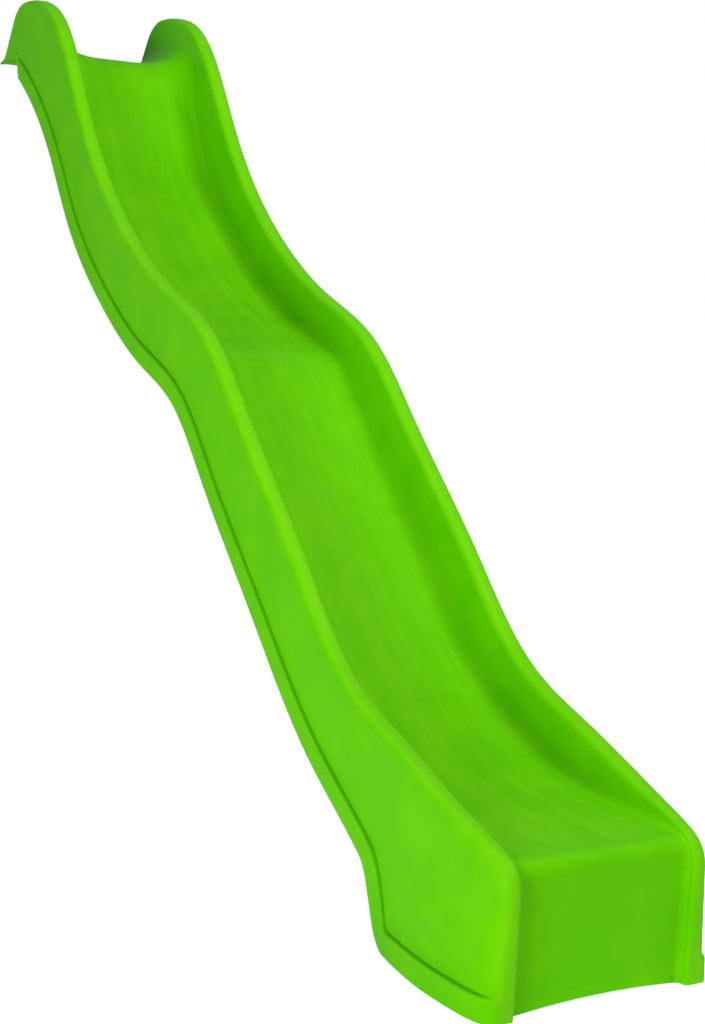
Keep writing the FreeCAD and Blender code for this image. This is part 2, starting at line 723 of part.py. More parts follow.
for item in doc.Objects:
    if "Invalid" in item.State or "Error" in item.State:
        raise RuntimeError(f"{item.Name} failed: {item.State}")
for node in nodes:
    if node.Shape.isNull() or not node.Shape.isValid():
        raise RuntimeError(f"{node.Label} has no valid shape")

os.makedirs("parts", exist_ok=True)
for node in nodes:
    node.Shape.exportStep(f"parts/{node.Label}.step")
    box = node.Shape.optimalBoundingBox()
    print(f"{node.Label}: {len(node.Shape.Solids)} solids, {node.Shape.Volume / 1000.0:.1f} cm3, "
          f"z {box.ZMin:.1f} to {box.ZMax:.1f}, y {box.YMin:.1f} to {box.YMax:.1f}")
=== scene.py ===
import logging
import math
from dataclasses import dataclass
from enum import Enum

import bmesh
import bpy
import numpy as np
from mathutils import Matrix, Vector


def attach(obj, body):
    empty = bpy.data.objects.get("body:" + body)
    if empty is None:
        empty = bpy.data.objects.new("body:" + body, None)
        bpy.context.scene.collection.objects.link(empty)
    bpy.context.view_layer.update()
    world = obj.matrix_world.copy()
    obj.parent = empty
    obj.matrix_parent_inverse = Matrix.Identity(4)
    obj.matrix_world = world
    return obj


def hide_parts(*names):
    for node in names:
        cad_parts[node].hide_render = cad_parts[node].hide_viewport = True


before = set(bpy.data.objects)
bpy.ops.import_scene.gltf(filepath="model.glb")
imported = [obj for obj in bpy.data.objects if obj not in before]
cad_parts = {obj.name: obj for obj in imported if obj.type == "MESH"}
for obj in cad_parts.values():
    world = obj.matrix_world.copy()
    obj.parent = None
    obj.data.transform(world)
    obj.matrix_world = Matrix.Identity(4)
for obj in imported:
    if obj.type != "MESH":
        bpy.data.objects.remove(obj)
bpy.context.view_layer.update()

log = logging.getLogger("wave_slide")

ROOT = "root"
MM = 0.001
SIDES = (-1.0, 1.0)
SHARP_ANGLE = math.radians(38.0)
TINY = 1e-6
SAME_PLACE = 1e-9
ON_FACE = 1e-4
MIRROR_MERGE = 1e-5
ROW_MERGE = 2e-5
DISTANCE_BATCH = 512
SMALL_ROUND_FACETS = 3
FOLD_FACETS = 5
HOLE_FACETS = 32
SCREW_FACETS = 24
# Inset and rise of each step of a screw's head, from its rim to the floor of its socket.
SCREW_STEPS = (
    (0.0, 0.0016), (0.0005, 0.0006), (0.0009, 0.0005), (0.0016, 0.0003), (0.0, -0.0018))
SOCKET_STEP = 3
SOCKET_LOBES = 6.0
SOCKET_LOBE_DEPTH = 0.12


class Slot(Enum):
    """Material slots of the record."""

    MOULDING = "moulded_plastic"
    GALVANISED = "galvanised_steel"
    SCREW = "screw_steel"


class Bed(Enum):
    """Stretches of the bed's profile, in order, uphill from the foot of the front panel."""

    PANEL = 0
    LIP_ROLL = 1
    OUTLET = 2
    RUNOUT = 3
    MAIN = 4
    CREST = 5
    CREST_TOP = 6
    TROUGH = 7
    UPPER = 8
    BEND = 9
    STEEP = 10
    TOP = 11
    LIP = 12


# Where the ridge's knots stand above the bed, uphill from the outlet to the top bend.
KNOTS = (
    (Bed.OUTLET, 0.55), (Bed.RUNOUT, 0.12), (Bed.RUNOUT, 0.6), (Bed.MAIN, 0.15), (Bed.MAIN, 0.7),
    (Bed.CREST, 0.4), (Bed.TROUGH, 0.1), (Bed.TROUGH, 0.6), (Bed.UPPER, 0.5), (Bed.STEEP, 0.15),
    (Bed.TOP, 0.75))
# The trimmed edge follows the ridge from this knot on.
FIRST_SKIRT_KNOT = 3
# Spans of the three lines where stations stand twice as close.
FINE_SPANS = (0, 1, 13, 14, 15, 16, 17)


# ---------------------------------------------------------------- profiles in the YZ plane


def forward(heading: float) -> np.ndarray:
    """Return the unit (y, z) vector of a heading in degrees above level."""
    angle = math.radians(heading)
    return np.array((math.cos(angle), math.sin(angle)))


def upward(heading: float) -> np.ndarray:
    """Return the unit (y, z) vector square to a heading, on its upper side."""
    angle = math.radians(heading)
    return np.array((-math.sin(angle), math.cos(angle)))


@dataclass(frozen=True)
class Stretch:
    """One straight or one bend of a profile.

    A straight has no radius. A bend turns from its heading to turn_to on its radius.
    """

    start: np.ndarray
    heading: float
    length: float
    radius: float = 0.0
    turn_to: float = 0.0

    def at(self, fraction: float) -> tuple[np.ndarray, float]:
        """Find a place on the stretch.

        Args:
            fraction: how far along it, from 0 to 1.

        Returns:
            The point and the heading there.
        """
        if self.radius == 0.0:
            return self.start + forward(self.heading) * (self.length * fraction), self.heading
        side = 1.0 if self.turn_to >= self.heading else -1.0
        heading = self.heading + (self.turn_to - self.heading) * fraction
        centre = self.start + upward(self.heading) * (side * self.radius)
        return centre - upward(heading) * (side * self.radius), heading

    def points(self, step: float) -> np.ndarray:
        """Return points along the stretch, no more than a step apart, both ends included."""
        count = max(2, int(math.ceil(self.length / step)) + 1)
        return np.array([self.at(index / (count - 1))[0] for index in range(count)])


def walk(start: np.ndarray, heading: float, steps: list[tuple]) -> list[Stretch]:
    """Chain straights (length,) and bends (radius, turn_to).

    Args:
        start: the first point.
        heading: the first heading, in degrees.
        steps: the straights and bends.

    Returns:
        The stretches, each starting where the one before ends.
    """
    chain: list[Stretch] = []
    for step in steps:
        if len(step) == 1:
            stretch = Stretch(start, heading, step[0])
        else:
            radius, turn_to = step
            length = radius * abs(math.radians(turn_to - heading))
            stretch = Stretch(start, heading, length, radius, turn_to)
        chain.append(stretch)
        start, heading = stretch.at(1.0)
    return chain


class Track:
    """A dense run of (y, z) points that can be read by length."""

    def __init__(self, first: np.ndarray) -> None:
        """Start the track at a point."""
        self.rows: list[np.ndarray] = [np.asarray(first, dtype=float)]
        self.lengths: list[float] = [0.0]

    def add(self, points: np.ndarray) -> float:
        """Go on through points, and return the length so far."""
        for point in points:
            gap = float(np.linalg.norm(point - self.rows[-1]))
            if gap > SAME_PLACE:
                self.rows.append(np.asarray(point, dtype=float))
                self.lengths.append(self.lengths[-1] + gap)
        return self.lengths[-1]

    def at(self, length: np.ndarray) -> np.ndarray:
        """Return the points at the given lengths, one row each."""
        rows = np.array(self.rows)
        return np.stack([np.interp(length, self.lengths, rows[:, axis]) for axis in (0, 1)],
                        axis=-1)

    def distance(self, places: np.ndarray) -> np.ndarray:
        """Return how far each place is from the track."""
        rows = np.array(self.rows)
        starts, steps = rows[:-1], np.diff(rows, axis=0)
        lengths_squared = (steps ** 2).sum(axis=1)
        nearest = np.empty(len(places))
        for first in range(0, len(places), DISTANCE_BATCH):
            batch = slice(first, first + DISTANCE_BATCH)
            gap = places[batch, None, :] - starts[None]
            share = np.clip((gap * steps).sum(axis=2) / lengths_squared, 0.0, 1.0)
            left = gap - share[..., None] * steps
            nearest[batch] = np.sqrt((left ** 2).sum(axis=2).min(axis=1))
        return nearest


def smooth_spans(knots: np.ndarray, start_heading: float, end_heading: float,
                 step: float) -> list[np.ndarray]:
    """Run a smooth curve through knots, with the same bend on both sides of each.

    Args:
        knots: the (y, z) points that the curve goes through.
        start_heading: its heading at the first knot, in degrees.
        end_heading: its heading at the last knot, in degrees.
        step: the greatest gap between the points that come back.

    Returns:
        The points of each span between two knots, both ends included.
    """
    gaps = np.linalg.norm(np.diff(knots, axis=0), axis=1)
    count = len(knots)
    system, wanted = np.eye(count), np.zeros((count, 2))
    wanted[0], wanted[-1] = forward(start_heading), forward(end_heading)
    for index in range(1, count - 1):
        before, after = gaps[index - 1], gaps[index]
        system[index, index - 1:index + 2] = (1.0 / before, 2.0 / before + 2.0 / after, 1.0 / after)
        wanted[index] = 3.0 * ((knots[index] - knots[index - 1]) / before ** 2
                               + (knots[index + 1] - knots[index]) / after ** 2)
    slopes = np.linalg.solve(system, wanted)
    spans = []
    for index, gap in enumerate(gaps):
        share = np.linspace(0.0, 1.0, max(2, int(gap / step) + 2))[:, None]
        spans.append((2 * share ** 3 - 3 * share ** 2 + 1) * knots[index]
                     + (share ** 3 - 2 * share ** 2 + share) * gap * slopes[index]
                     + (3 * share ** 2 - 2 * share ** 3) * knots[index + 1]
                     + (share ** 3 - share ** 2) * gap * slopes[index + 1])
    return spans


def ease(value: np.ndarray) -> np.ndarray:
    """Return a smooth step from 0 to 1 as the value goes from 0 to 1."""
    value = np.clip(value, 0.0, 1.0)
    return value * value * (3.0 - 2.0 * value)


def between(start: float, end: float, share: float) -> float:
    """Return the value at a share of the way from start to end."""
    return start + (end - start) * share


# ---------------------------------------------------------------- mesh helpers


def added(name: str, data: bpy.types.ID) -> bpy.types.Object:
    """Return a new object that stands in the scene."""
    item = bpy.data.objects.new(name, data)
    bpy.context.scene.collection.objects.link(item)
    return item


def meshed(name: str, build: bmesh.types.BMesh) -> bpy.types.Object:
    """Return a new object made of a bmesh, which is used up."""
    mesh = bpy.data.meshes.new(name)
    build.to_mesh(mesh)
    build.free()
    return added(name, mesh)


def finished(name: str, build: bmesh.types.BMesh, material: bpy.types.Material) -> bpy.types.Object:
    """Turn a bmesh into a piece that rides on the slide.

    Args:
        name: the piece's name.
        build: its mesh, in place.
        material: its finish.

    Returns:
        The new object, smooth shaded.
    """
    piece = meshed(name, build)
    piece.data.materials.append(material)
    piece.data.polygons.foreach_set("use_smooth", [True] * len(piece.data.polygons))
    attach(piece, ROOT)
    log.info("%s: %d faces", name, len(piece.data.polygons))
    return piece


def thicken(piece: bpy.types.Object, thickness: float) -> None:
    """Give a piece's surface a wall, on the side away from its faces."""
    wall = piece.modifiers.new("wall", "SOLIDIFY")
    wall.thickness = thickness
    wall.offset = -1.0


def settle(piece: bpy.types.Object) -> None:
    """Make a piece's modifiers part of its mesh, and shade its creases sharp.

    Args:
        piece: the piece, which is left without modifiers.
    """
    evaluated = piece.evaluated_get(bpy.context.evaluated_depsgraph_get())
    mesh = bpy.data.meshes.new_from_object(evaluated)
    piece.modifiers.clear()
    old, piece.data = piece.data, mesh
    mesh.name = piece.name
    bpy.data.meshes.remove(old)
    mesh.set_sharp_from_angle(angle=SHARP_ANGLE)


def mirror_across(build: bmesh.types.BMesh, merge: float) -> None:
    """Add a bmesh's mirror image across the slide's middle plane.

    Args:
        build: the mesh, changed in place.
        merge: how near to the plane the two halves are joined, or below 0 to keep them apart.
    """
    bmesh.ops.mirror(build, geom=build.verts[:] + build.edges[:] + build.faces[:],
                     merge_dist=merge, axis="X")


def dress(node: bpy.types.Object, material: bpy.types.Material) -> None:
    """Give a CAD node a finish in place of its own."""
    node.data.materials.clear()
    node.data.materials.append(material)


def bevelled_box(low: Vector, high: Vector, radius: float, segments: int = 2) -> bmesh.types.BMesh:
    """Build a box between two corners, with rounded edges.

    Args:
        low: its lowest corner.
        high: its highest corner.
        radius: how much the edges are rounded.
        segments: the facets of each rounding.

    Returns:
        The box.
    """
    build = bmesh.new()
    bmesh.ops.create_cube(build, size=1.0)
    bmesh.ops.scale(build, vec=high - low, verts=build.verts)
    bmesh.ops.translate(build, vec=(low + high) / 2.0, verts=build.verts)
    bmesh.ops.bevel(build, geom=build.edges[:], offset=radius, affect="EDGES", segments=segments,
                    profile=0.5, material=-1)
    return build


# ---------------------------------------------------------------- the moulded chute


@dataclass
class ChuteProfile:
    """Driving sizes of the chute's side view, in metres and degrees, and the lines they make."""

    deck_height: float = 1.500
    sheet: float = 0.005
    skirt_depth: float = 0.172
    exit_height: float = 0.226
    lip_roll: float = 0.022
    exit_slope: float = 3.0
    exit_length: float = 0.206
    runout_radius: float = 0.650
    main_slope: float = 44.0
    crest_radius: float = 0.160
    crest_slope: float = 15.0
    crest_length: float = 0.095
    trough_radius: float = 1.100
    upper_slope: float = 38.0
    upper_length: float = 0.144
    steep_radius: float = 0.400
    steep_slope: float = 60.0
    steep_length: float = 0.185
    top_radius: float = 0.090
    lip_length: float = 0.280
    deck_overlap: float = 0.155
    notch_depth: float = 0.036
    wall_front: float = 0.007
    wall_exit: float = 0.038
    wall_runout: float = 0.076
    wall_slope: float = 0.092
    wall_crest: float = 0.072
    wall_trough: float = 0.096
    wall_steep: float = 0.118
    wall_shoulder: float = 0.104
    hump_height: float = 0.124
    hump_radius: float = 0.090
    hump_fall: float = 52.0
    hump_foot: float = 0.058
    lip_tail: float = 0.030
    leg_proud: float = 0.018
    leg_corner: float = 0.060
    ridge_front_slope: float = 24.0
    box_length: float = 0.288
    box_rear_slope: float = 66.0
    box_rear_length: float = 0.078
    box_heel: float = 0.045
    box_neck: float = 0.070
    skirt_start_slope: float = 32.0
    skirt_end_slope: float = 27.0
    trim_start: float = 0.020
    trim_marks: tuple[float, ...] = (0.075, 0.110, 0.190)
    lip_rise_run: float = 0.085
    lip_edge_run: float = 0.040
    band_run_on: float = 0.200
    step: float = 0.004

    def __post_init__(self) -> None:
        """Work out the three lines: the bed, the ridge of the side wall and the trimmed edge."""
        self.lip_top = self.deck_height + self.sheet
        rise = self.lip_top - self._bed(0.0)[-1].at(1.0)[0][1]
        self.bed_parts = self._bed(rise / math.sin(math.radians(self.main_slope)))
        self.lip_end = float(self.bed_parts[-1].at(1.0)[0][0])
        self.deck_edge = self.lip_end - self.deck_overlap
        self.leg_front = -self.leg_proud
        self.middle = (self.leg_front + self.lip_end) / 2.0
        self._make_bed()
        self._make_ridge()
        self._make_trim()

    def _bed(self, main_length: float) -> list[Stretch]:
        """Return the bed's stretches for a length of the main straight."""
        panel = self.exit_height - self.lip_roll * math.cos(math.radians(self.exit_slope))
        return walk(np.zeros(2), 90.0, [
            (panel,), (self.lip_roll, self.exit_slope), (self.exit_length,),
            (self.runout_radius, self.main_slope), (main_length,),
            (self.crest_radius, self.crest_slope), (self.crest_length,),
            (self.trough_radius, self.upper_slope), (self.upper_length,),
            (self.steep_radius, self.steep_slope), (self.steep_length,),
            (self.top_radius, 0.0), (self.lip_length,),
        ])

    def above(self, part: Bed, fraction: float, height: float) -> np.ndarray:
        """Return the point that stands square above the bed."""
        place, heading = self.bed_parts[part.value].at(fraction)
        return place + upward(heading) * height

    def bed_at(self, distance: float) -> tuple[np.ndarray, float]:
        """Return the bed's point and heading at a distance along it from the front lip."""
        for stretch in self.bed_parts[Bed.OUTLET.value:]:
            if distance <= stretch.length:
                return stretch.at(distance / stretch.length)
            distance -= stretch.length
        return self.bed_parts[-1].at(1.0)

    def _bed_length(self, part: Bed, fraction: float) -> float:
        """Return the length from the panel's foot to a fraction of a stretch."""
        done = sum(stretch.length for stretch in self.bed_parts[:part.value])
        return done + self.bed_parts[part.value].length * fraction

    def _make_bed(self) -> None:
        """Trace the bed and note the lengths at which the other lines are matched to it."""
        self.bed = Track(np.zeros(2))
        for stretch in self.bed_parts:
            self.bed.add(stretch.points(self.step))
        scale = self.bed.lengths[-1] / sum(stretch.length for stretch in self.bed_parts)
        lip_to_hump = (self.lip_end - self.lip_tail - self._hump_run()
                       - self.bed_parts[Bed.LIP.value].start[0]) / self.lip_length
        self.bed_keys = [scale * self._bed_length(part, fraction) for part, fraction in (
            (Bed.PANEL, 0.0), (Bed.PANEL, 0.86), (Bed.LIP_ROLL, 1.0), *KNOTS,
            (Bed.LIP, lip_to_hump), (Bed.LIP, lip_to_hump + 0.27), (Bed.LIP, 0.78),
            (Bed.LIP, 0.9), (Bed.LIP, 1.0))]

    def _hump_slope(self) -> float:
        """Return the length of the hump's straight fall, before its foot is rounded."""
        angle = math.radians(self.hump_fall)
        drop = self.hump_radius * (1.0 - math.cos(angle))
        return (self.hump_height - drop) / math.sin(angle)

    def _hump_run(self) -> float:
        """Return the level distance from the hump's top to the foot of its fall."""
        angle = math.radians(self.hump_fall)
        return self.hump_radius * math.sin(angle) + self._hump_slope() * math.cos(angle)

    def _make_ridge(self) -> None:
        """Trace the ridge, up the leg's front, over the hump and out along the lip."""
        slope = math.radians(self.ridge_front_slope)
        corner_top = self.exit_height + self.wall_front
        corner_end = np.array((self.leg_front + self.leg_corner * (1.0 - math.sin(slope)),
                               corner_top))
        corner_z = corner_top - self.leg_corner * math.cos(slope)
        hump_top = np.array((self.lip_end - self.lip_tail - self._hump_run(),
                             self.lip_top + self.hump_height))
        heights = (self.wall_exit, self.wall_runout, (self.wall_runout + self.wall_slope) / 2.0,
                   self.wall_slope, (self.wall_slope + self.wall_crest) / 2.0, self.wall_crest,
                   (self.wall_crest + self.wall_trough) / 2.0, self.wall_trough,
                   (self.wall_trough + self.wall_steep) / 2.0, self.wall_steep,
                   self.wall_shoulder)
        above = [self.above(part, fraction, height)
                 for (part, fraction), height in zip(KNOTS, heights)]
        knots = np.array([corner_end, *above, hump_top])
        leg = walk(np.array((self.leg_front, 0.0)), 90.0,
                   [(corner_z,), (self.leg_corner, self.ridge_front_slope)])
        self.ridge = Track(np.array((self.leg_front, 0.0)))
        self.ridge_keys = [0.0]
        self.ridge_keys += [self.ridge.add(stretch.points(self.step)) for stretch in leg]
        spans = smooth_spans(knots, self.ridge_front_slope, 0.0, self.step)
        self.ridge_keys += [self.ridge.add(span) for span in spans]
        self.ridge_knots = knots
        self.ridge_slopes = [spans[0][1] - spans[0][0]]
        self.ridge_slopes += [span[-1] - span[-2] for span in spans]
        foot = self.hump_foot * math.tan(math.radians(self.hump_fall / 2.0))
        rear = walk(hump_top, 0.0, [
            (self.hump_radius, -self.hump_fall), (self._hump_slope() - foot,),
            (self.hump_foot, 0.0), (max(self.lip_tail - foot, MM),)])
        self.ridge_keys += [self.ridge.add(stretch.points(self.step)) for stretch in rear]

    def below_ridge(self, knot: int) -> np.ndarray:
        """Return the trimmed edge's point square below a knot of the ridge."""
        along = self.ridge_slopes[knot] / np.linalg.norm(self.ridge_slopes[knot])
        return self.ridge_knots[knot] + np.array((along[1], -along[0])) * self.skirt_depth

    def _make_trim(self) -> None:
        """Trace the trimmed edge, along the ground, up behind the box and on to the lip."""
        tangent = self.box_heel * math.tan(math.radians(self.box_rear_slope / 2.0))
        heel_start = self.box_length - tangent
        box = walk(np.array((heel_start, 0.0)), 0.0, [
            (self.box_heel, self.box_rear_slope), (self.box_rear_length,),
            (self.box_neck, self.skirt_start_slope)])
        notch = np.array((self.deck_edge, self.deck_height - self.notch_depth))
        skirt = [self.below_ridge(knot) for knot in range(FIRST_SKIRT_KNOT, len(KNOTS))]
        knots = np.array([box[-1].at(1.0)[0], *skirt, notch])
        self.trim = Track(np.array((self.leg_front + self.trim_start, 0.0)))
        self.trim_keys = [0.0]
        self.trim_keys += [self.trim.add(np.array([(y, 0.0)])) for y in self.trim_marks]
        self.trim.add(np.array([(heel_start, 0.0)]))
        heel, rear, neck = (stretch.points(self.step) for stretch in box)
        self.trim_keys.append(self.trim.add(heel))
        self.trim.add(rear)
        self.trim.add(neck)
        spans = smooth_spans(knots, self.skirt_start_slope, self.skirt_end_slope, self.step)
        half = len(spans[-1]) // 2
        spans[-1:] = [spans[-1][:half], spans[-1][half:]]
        self.trim_keys += [self.trim.add(span) for span in spans]
        self.band_line = Track(np.array((self.leg_front, 0.0)))
        self.band_line.add(np.array(self.trim.rows))
        self.band_line.add(np.array([notch + self.band_run_on * forward(self.skirt_end_slope)]))
        for y in (self.deck_edge, self.lip_end - self.lip_rise_run,
                  self.lip_end - self.lip_edge_run, self.lip_end):
            self.trim_keys.append(self.trim.add(np.array([(y, self.deck_height)])))

    def stations(self, spacing: float) -> tuple[np.ndarray, np.ndarray, np.ndarray]:
        """Match the three lines.

        Args:
            spacing: the usual distance between stations along the longest line.

        Returns:
            The bed, ridge and trim points of each station, as three arrays of (y, z).
        """
        bed, ridge, trim = [], [], []
        keys = list(zip(self.bed_keys, self.ridge_keys, self.trim_keys))
        for index, (start, end) in enumerate(zip(keys, keys[1:])):
            longest = max(b - a for a, b in zip(start, end))
            fine = 0.5 if index in FINE_SPANS else 1.0
            count = max(3, int(round(longest / (spacing * fine))))
            share = np.arange(count) / count
            if index == len(keys) - 2:
                share = np.linspace(0.0, 1.0, count + 1)
            for line, low, high in zip((bed, ridge, trim), start, end):
                line.extend(low + (high - low) * share)
        return (self.bed.at(np.array(bed)), self.ridge.at(np.array(ridge)),
                self.trim.at(np.array(trim)))


@dataclass
class Chute:
    """The one-piece moulded chute: its section across the slide, swept along the profile."""

    profile: ChuteProfile
    material: bpy.types.Material
    half_channel: float = 0.156
    ridge_width: float = 0.036
    half_band: float = 0.204
    draft: float = 0.0055
    bed_fillet: float = 0.014
    lip_fillet: float = 0.105
    ridge_round: float = 0.013
    leg_inner_round: float = 0.008
    leg_round_across: float = 0.020
    leg_round_back: float = 0.050
    band_width: float = 0.038
    band_joggle: float = 0.0045
    flare_top: float = 0.175
    flare_front: float = 0.009
    flare_middle: float = 0.020
    flare_rear: float = 0.002
    flare_place: float = 0.115
    arch_rise: float = 0.008
    arch_reach: float = 0.075
    rim_height: float = 0.009
    rim_depth: float = 0.002
    edge_round: float = 0.0016
    lip_hole: float = 0.0085
    lip_hole_spacing: float = 0.200
    lip_hole_inset: float = 0.060
    station_spacing: float = 0.0115
    bed_shares: tuple[float, ...] = (0.0, 0.22, 0.44, 0.64, 0.82, 0.94)
    fillet_rows: int = 8
    wall_rows: int = 4
    round_rows: int = 6
    skirt_rows: int = 8
    joggle_rows: int = 6
    band_rows: int = 7
    band_row_power: float = 1.5
    band_probes: int = 60
    lip_low: float = 0.70
    lip_end_low: float = 0.74
    leg_low: float = 0.02
    fillet_rise_share: float = 0.57
    fillet_reach_share: float = 1.2
    fillet_reach_least: float = 0.004
    inner_round_share: float = 0.36
    outer_round_share: float = 0.85
    edge_round_share: float = 0.3
    edge_tuck_share: float = 0.7
    draft_depth: float = 0.150
    joggle_fade_end: float = 0.004
    joggle_fade: float = 0.026
    lean_fade: float = 0.160
    leg_fade_start: float = 0.015
    leg_fade: float = 0.160
    lip_fade_start: float = 0.130
    lip_fade: float = 0.110
    rub_fade: float = 0.050
    crown_reach: float = 1.1
    # Reach and fades of the painted shade line in the joggle's crease above the band.
    crease_shade_reach: float = 2.6
    crease_shade_fade_end: float = 0.006
    crease_shade_low: float = 0.008
    crease_shade_fade: float = 0.030
    rim_blend: float = 0.003
    cutter_depth: float = 0.060

    def band_spans(self, ridge: np.ndarray, trim: np.ndarray) -> np.ndarray:
        """Find where the joggle above the band crosses each station's skirt.

        Args:
            ridge: every station's ridge point.
            trim: every station's trimmed point.

        Returns:
            The distances below the ridge at which the joggle starts and ends, one row for each
            station.
        """
        shares = np.linspace(1.0, 0.0, self.band_probes)
        places = trim[:, None] + (ridge - trim)[:, None] * (1.0 - shares)[None, :, None]
        gaps = self.profile.band_line.distance(places.reshape(-1, 2)).reshape(len(ridge), -1)
        deep = np.linalg.norm(trim - ridge, axis=1)
        spans = []
        for gap, length, edge in zip(gaps, deep, trim[:, 0]):
            if edge > self.profile.deck_edge - MM:
                spans.append([self.lip_low * length, self.lip_end_low * length])
                continue
            spans.append([])
            levels = (self.band_width + self.band_joggle / 2.0,
                      self.band_width - self.band_joggle / 2.0)
            for count, level in enumerate(levels, start=1):
                low_leg = self.leg_low * length * count
                usual = low_leg if gap.max() < level else length - level
                past = int(np.argmax(gap > level))
                if past:
                    part = (level - gap[past - 1]) / (gap[past] - gap[past - 1])
                    share = shares[past - 1] + (shares[past] - shares[past - 1]) * part
                    usual = max(float(share * length), low_leg)
                spans[-1].append(usual)
        return np.array(spans)

    def section(self, bed: np.ndarray, ridge: np.ndarray, trim: np.ndarray, front: float,
                lip: float, span: np.ndarray) -> tuple[np.ndarray, int]:
        """Work out one station's half section, from the bed's centre to the trimmed edge.

        Args:
            bed: the bed's point in the YZ plane.
            ridge: the ridge's point.
            trim: the trimmed edge's point.
            front: how much the station belongs to the front leg, from 0 to 1.
            lip: how much it belongs to the lip, from 0 to 1.
            span: where the joggle above the band starts and ends, as distances below the ridge.

        Returns:
            The rows as (x, y, z), where x is still unset beyond the ridge, and the number of
            the first such row.
        """
        tall = float(np.linalg.norm(ridge - bed))
        lift = (ridge - bed) / max(tall, TINY)
        fillet = between(self.bed_fillet, self.lip_fillet, lip)
        rise = min(fillet, self.fillet_rise_share * tall)
        reach = min(fillet, self.fillet_reach_least + self.fillet_reach_share * tall)
        inner = between(self.ridge_round, self.leg_inner_round, front)
        inner_down = min(inner, self.inner_round_share * tall)
        rows = [(share * (self.half_channel - reach), 0.0) for share in self.bed_shares]
        for step in range(self.fillet_rows):
            angle = math.pi / 2.0 * step / (self.fillet_rows - 1)
            rows.append((self.half_channel - reach + reach * math.sin(angle),
                         rise * (1.0 - math.cos(angle))))
        top = tall - inner_down
        for step in range(1, self.wall_rows):
            rows.append((self.half_channel, rise + (top - rise) * step / self.wall_rows))
        for step in range(self.round_rows):
            angle = math.pi / 2.0 * step / (self.round_rows - 1)
            rows.append((self.half_channel + inner * (1.0 - math.cos(angle)),
                         top + inner_down * math.sin(angle)))
        half = [(x, *(bed + lift * height)) for x, height in rows]
        first_outer = len(half)
        deep = float(np.linalg.norm(trim - ridge))
        low, joggle_end = float(span[0]), float(span[1])
        high = min(self.outer_round(front)[1], self.outer_round_share * low)
        stops = []
        for step in range(self.round_rows + 1):
            angle = math.pi / 2.0 * step / self.round_rows
            stops.append(high * (1.0 - math.cos(angle)))
        stops += [high + (low - high) * step / self.skirt_rows
                  for step in range(1, self.skirt_rows)]
        stops += [low + (joggle_end - low) * step / self.joggle_rows
                  for step in range(self.joggle_rows + 1)]
        edge = min(self.edge_round, (deep - joggle_end) * self.edge_round_share)
        stops += [joggle_end
                  + (deep - edge - joggle_end) * (step / self.band_rows) ** self.band_row_power
                  for step in range(1, self.band_rows + 1)]
        stops.append(deep)
        fall = (trim - ridge) / deep
        half += [(0.0, *(ridge + fall * stop)) for stop in stops]
        return np.array(half), first_outer

    def outer_round(self, front: float) -> tuple[float, float]:
        """Return how far the outer rounding goes across and down, for a share of the front leg."""
        return (between(self.ridge_round, self.leg_round_across, front),
                between(self.ridge_round, self.leg_round_back, front))

    def outer_x(self, places: np.ndarray, front: np.ndarray) -> np.ndarray:
        """Return how far out the skirt stands at places of its side view.

        Args:
            places: (y, z) places on the skirt.
            front: the share of the front leg at each.

        Returns:
            The half width at each place.
        """
        from_ridge = self.profile.ridge.distance(places)
        from_trim = self.profile.band_line.distance(places)
        skirt = self.half_channel + self.ridge_width
        across, back = self.outer_round(front)
        draft = self.draft * np.clip(from_ridge / self.draft_depth, 0.0, 1.0)
        joggle = 1.0 - ease((from_trim - self.band_width + self.band_joggle / 2.0)
                            / self.band_joggle)
        deck_near = self.profile.deck_edge - self.joggle_fade_end - places[:, 0]
        joggle = joggle * ease(deck_near / self.joggle_fade)
        proud = self.half_band - skirt - self.draft
        body = skirt + draft + self.lean(places) + proud * joggle
        share = np.clip(from_ridge / back, 0.0, 1.0)
        inward = across * (1.0 - np.sqrt(np.clip(1.0 - (1.0 - share) ** 2, 0.0, 1.0)))
        return body - inward

    def lean(self, places: np.ndarray) -> np.ndarray:
        """Return how far the outlet box's side leans out at places of its side view."""
        stops = (self.profile.leg_front, self.flare_place, self.profile.box_length)
        bow = np.polyfit(stops, (self.flare_front, self.flare_middle, self.flare_rear), 2)
        share = np.clip(1.0 - places[:, 1] / self.flare_top, 0.0, 1.0)
        behind = ease((self.profile.box_length + self.lean_fade - places[:, 0]) / self.lean_fade)
        return share * np.maximum(np.polyval(bow, places[:, 0]), self.flare_rear * behind)

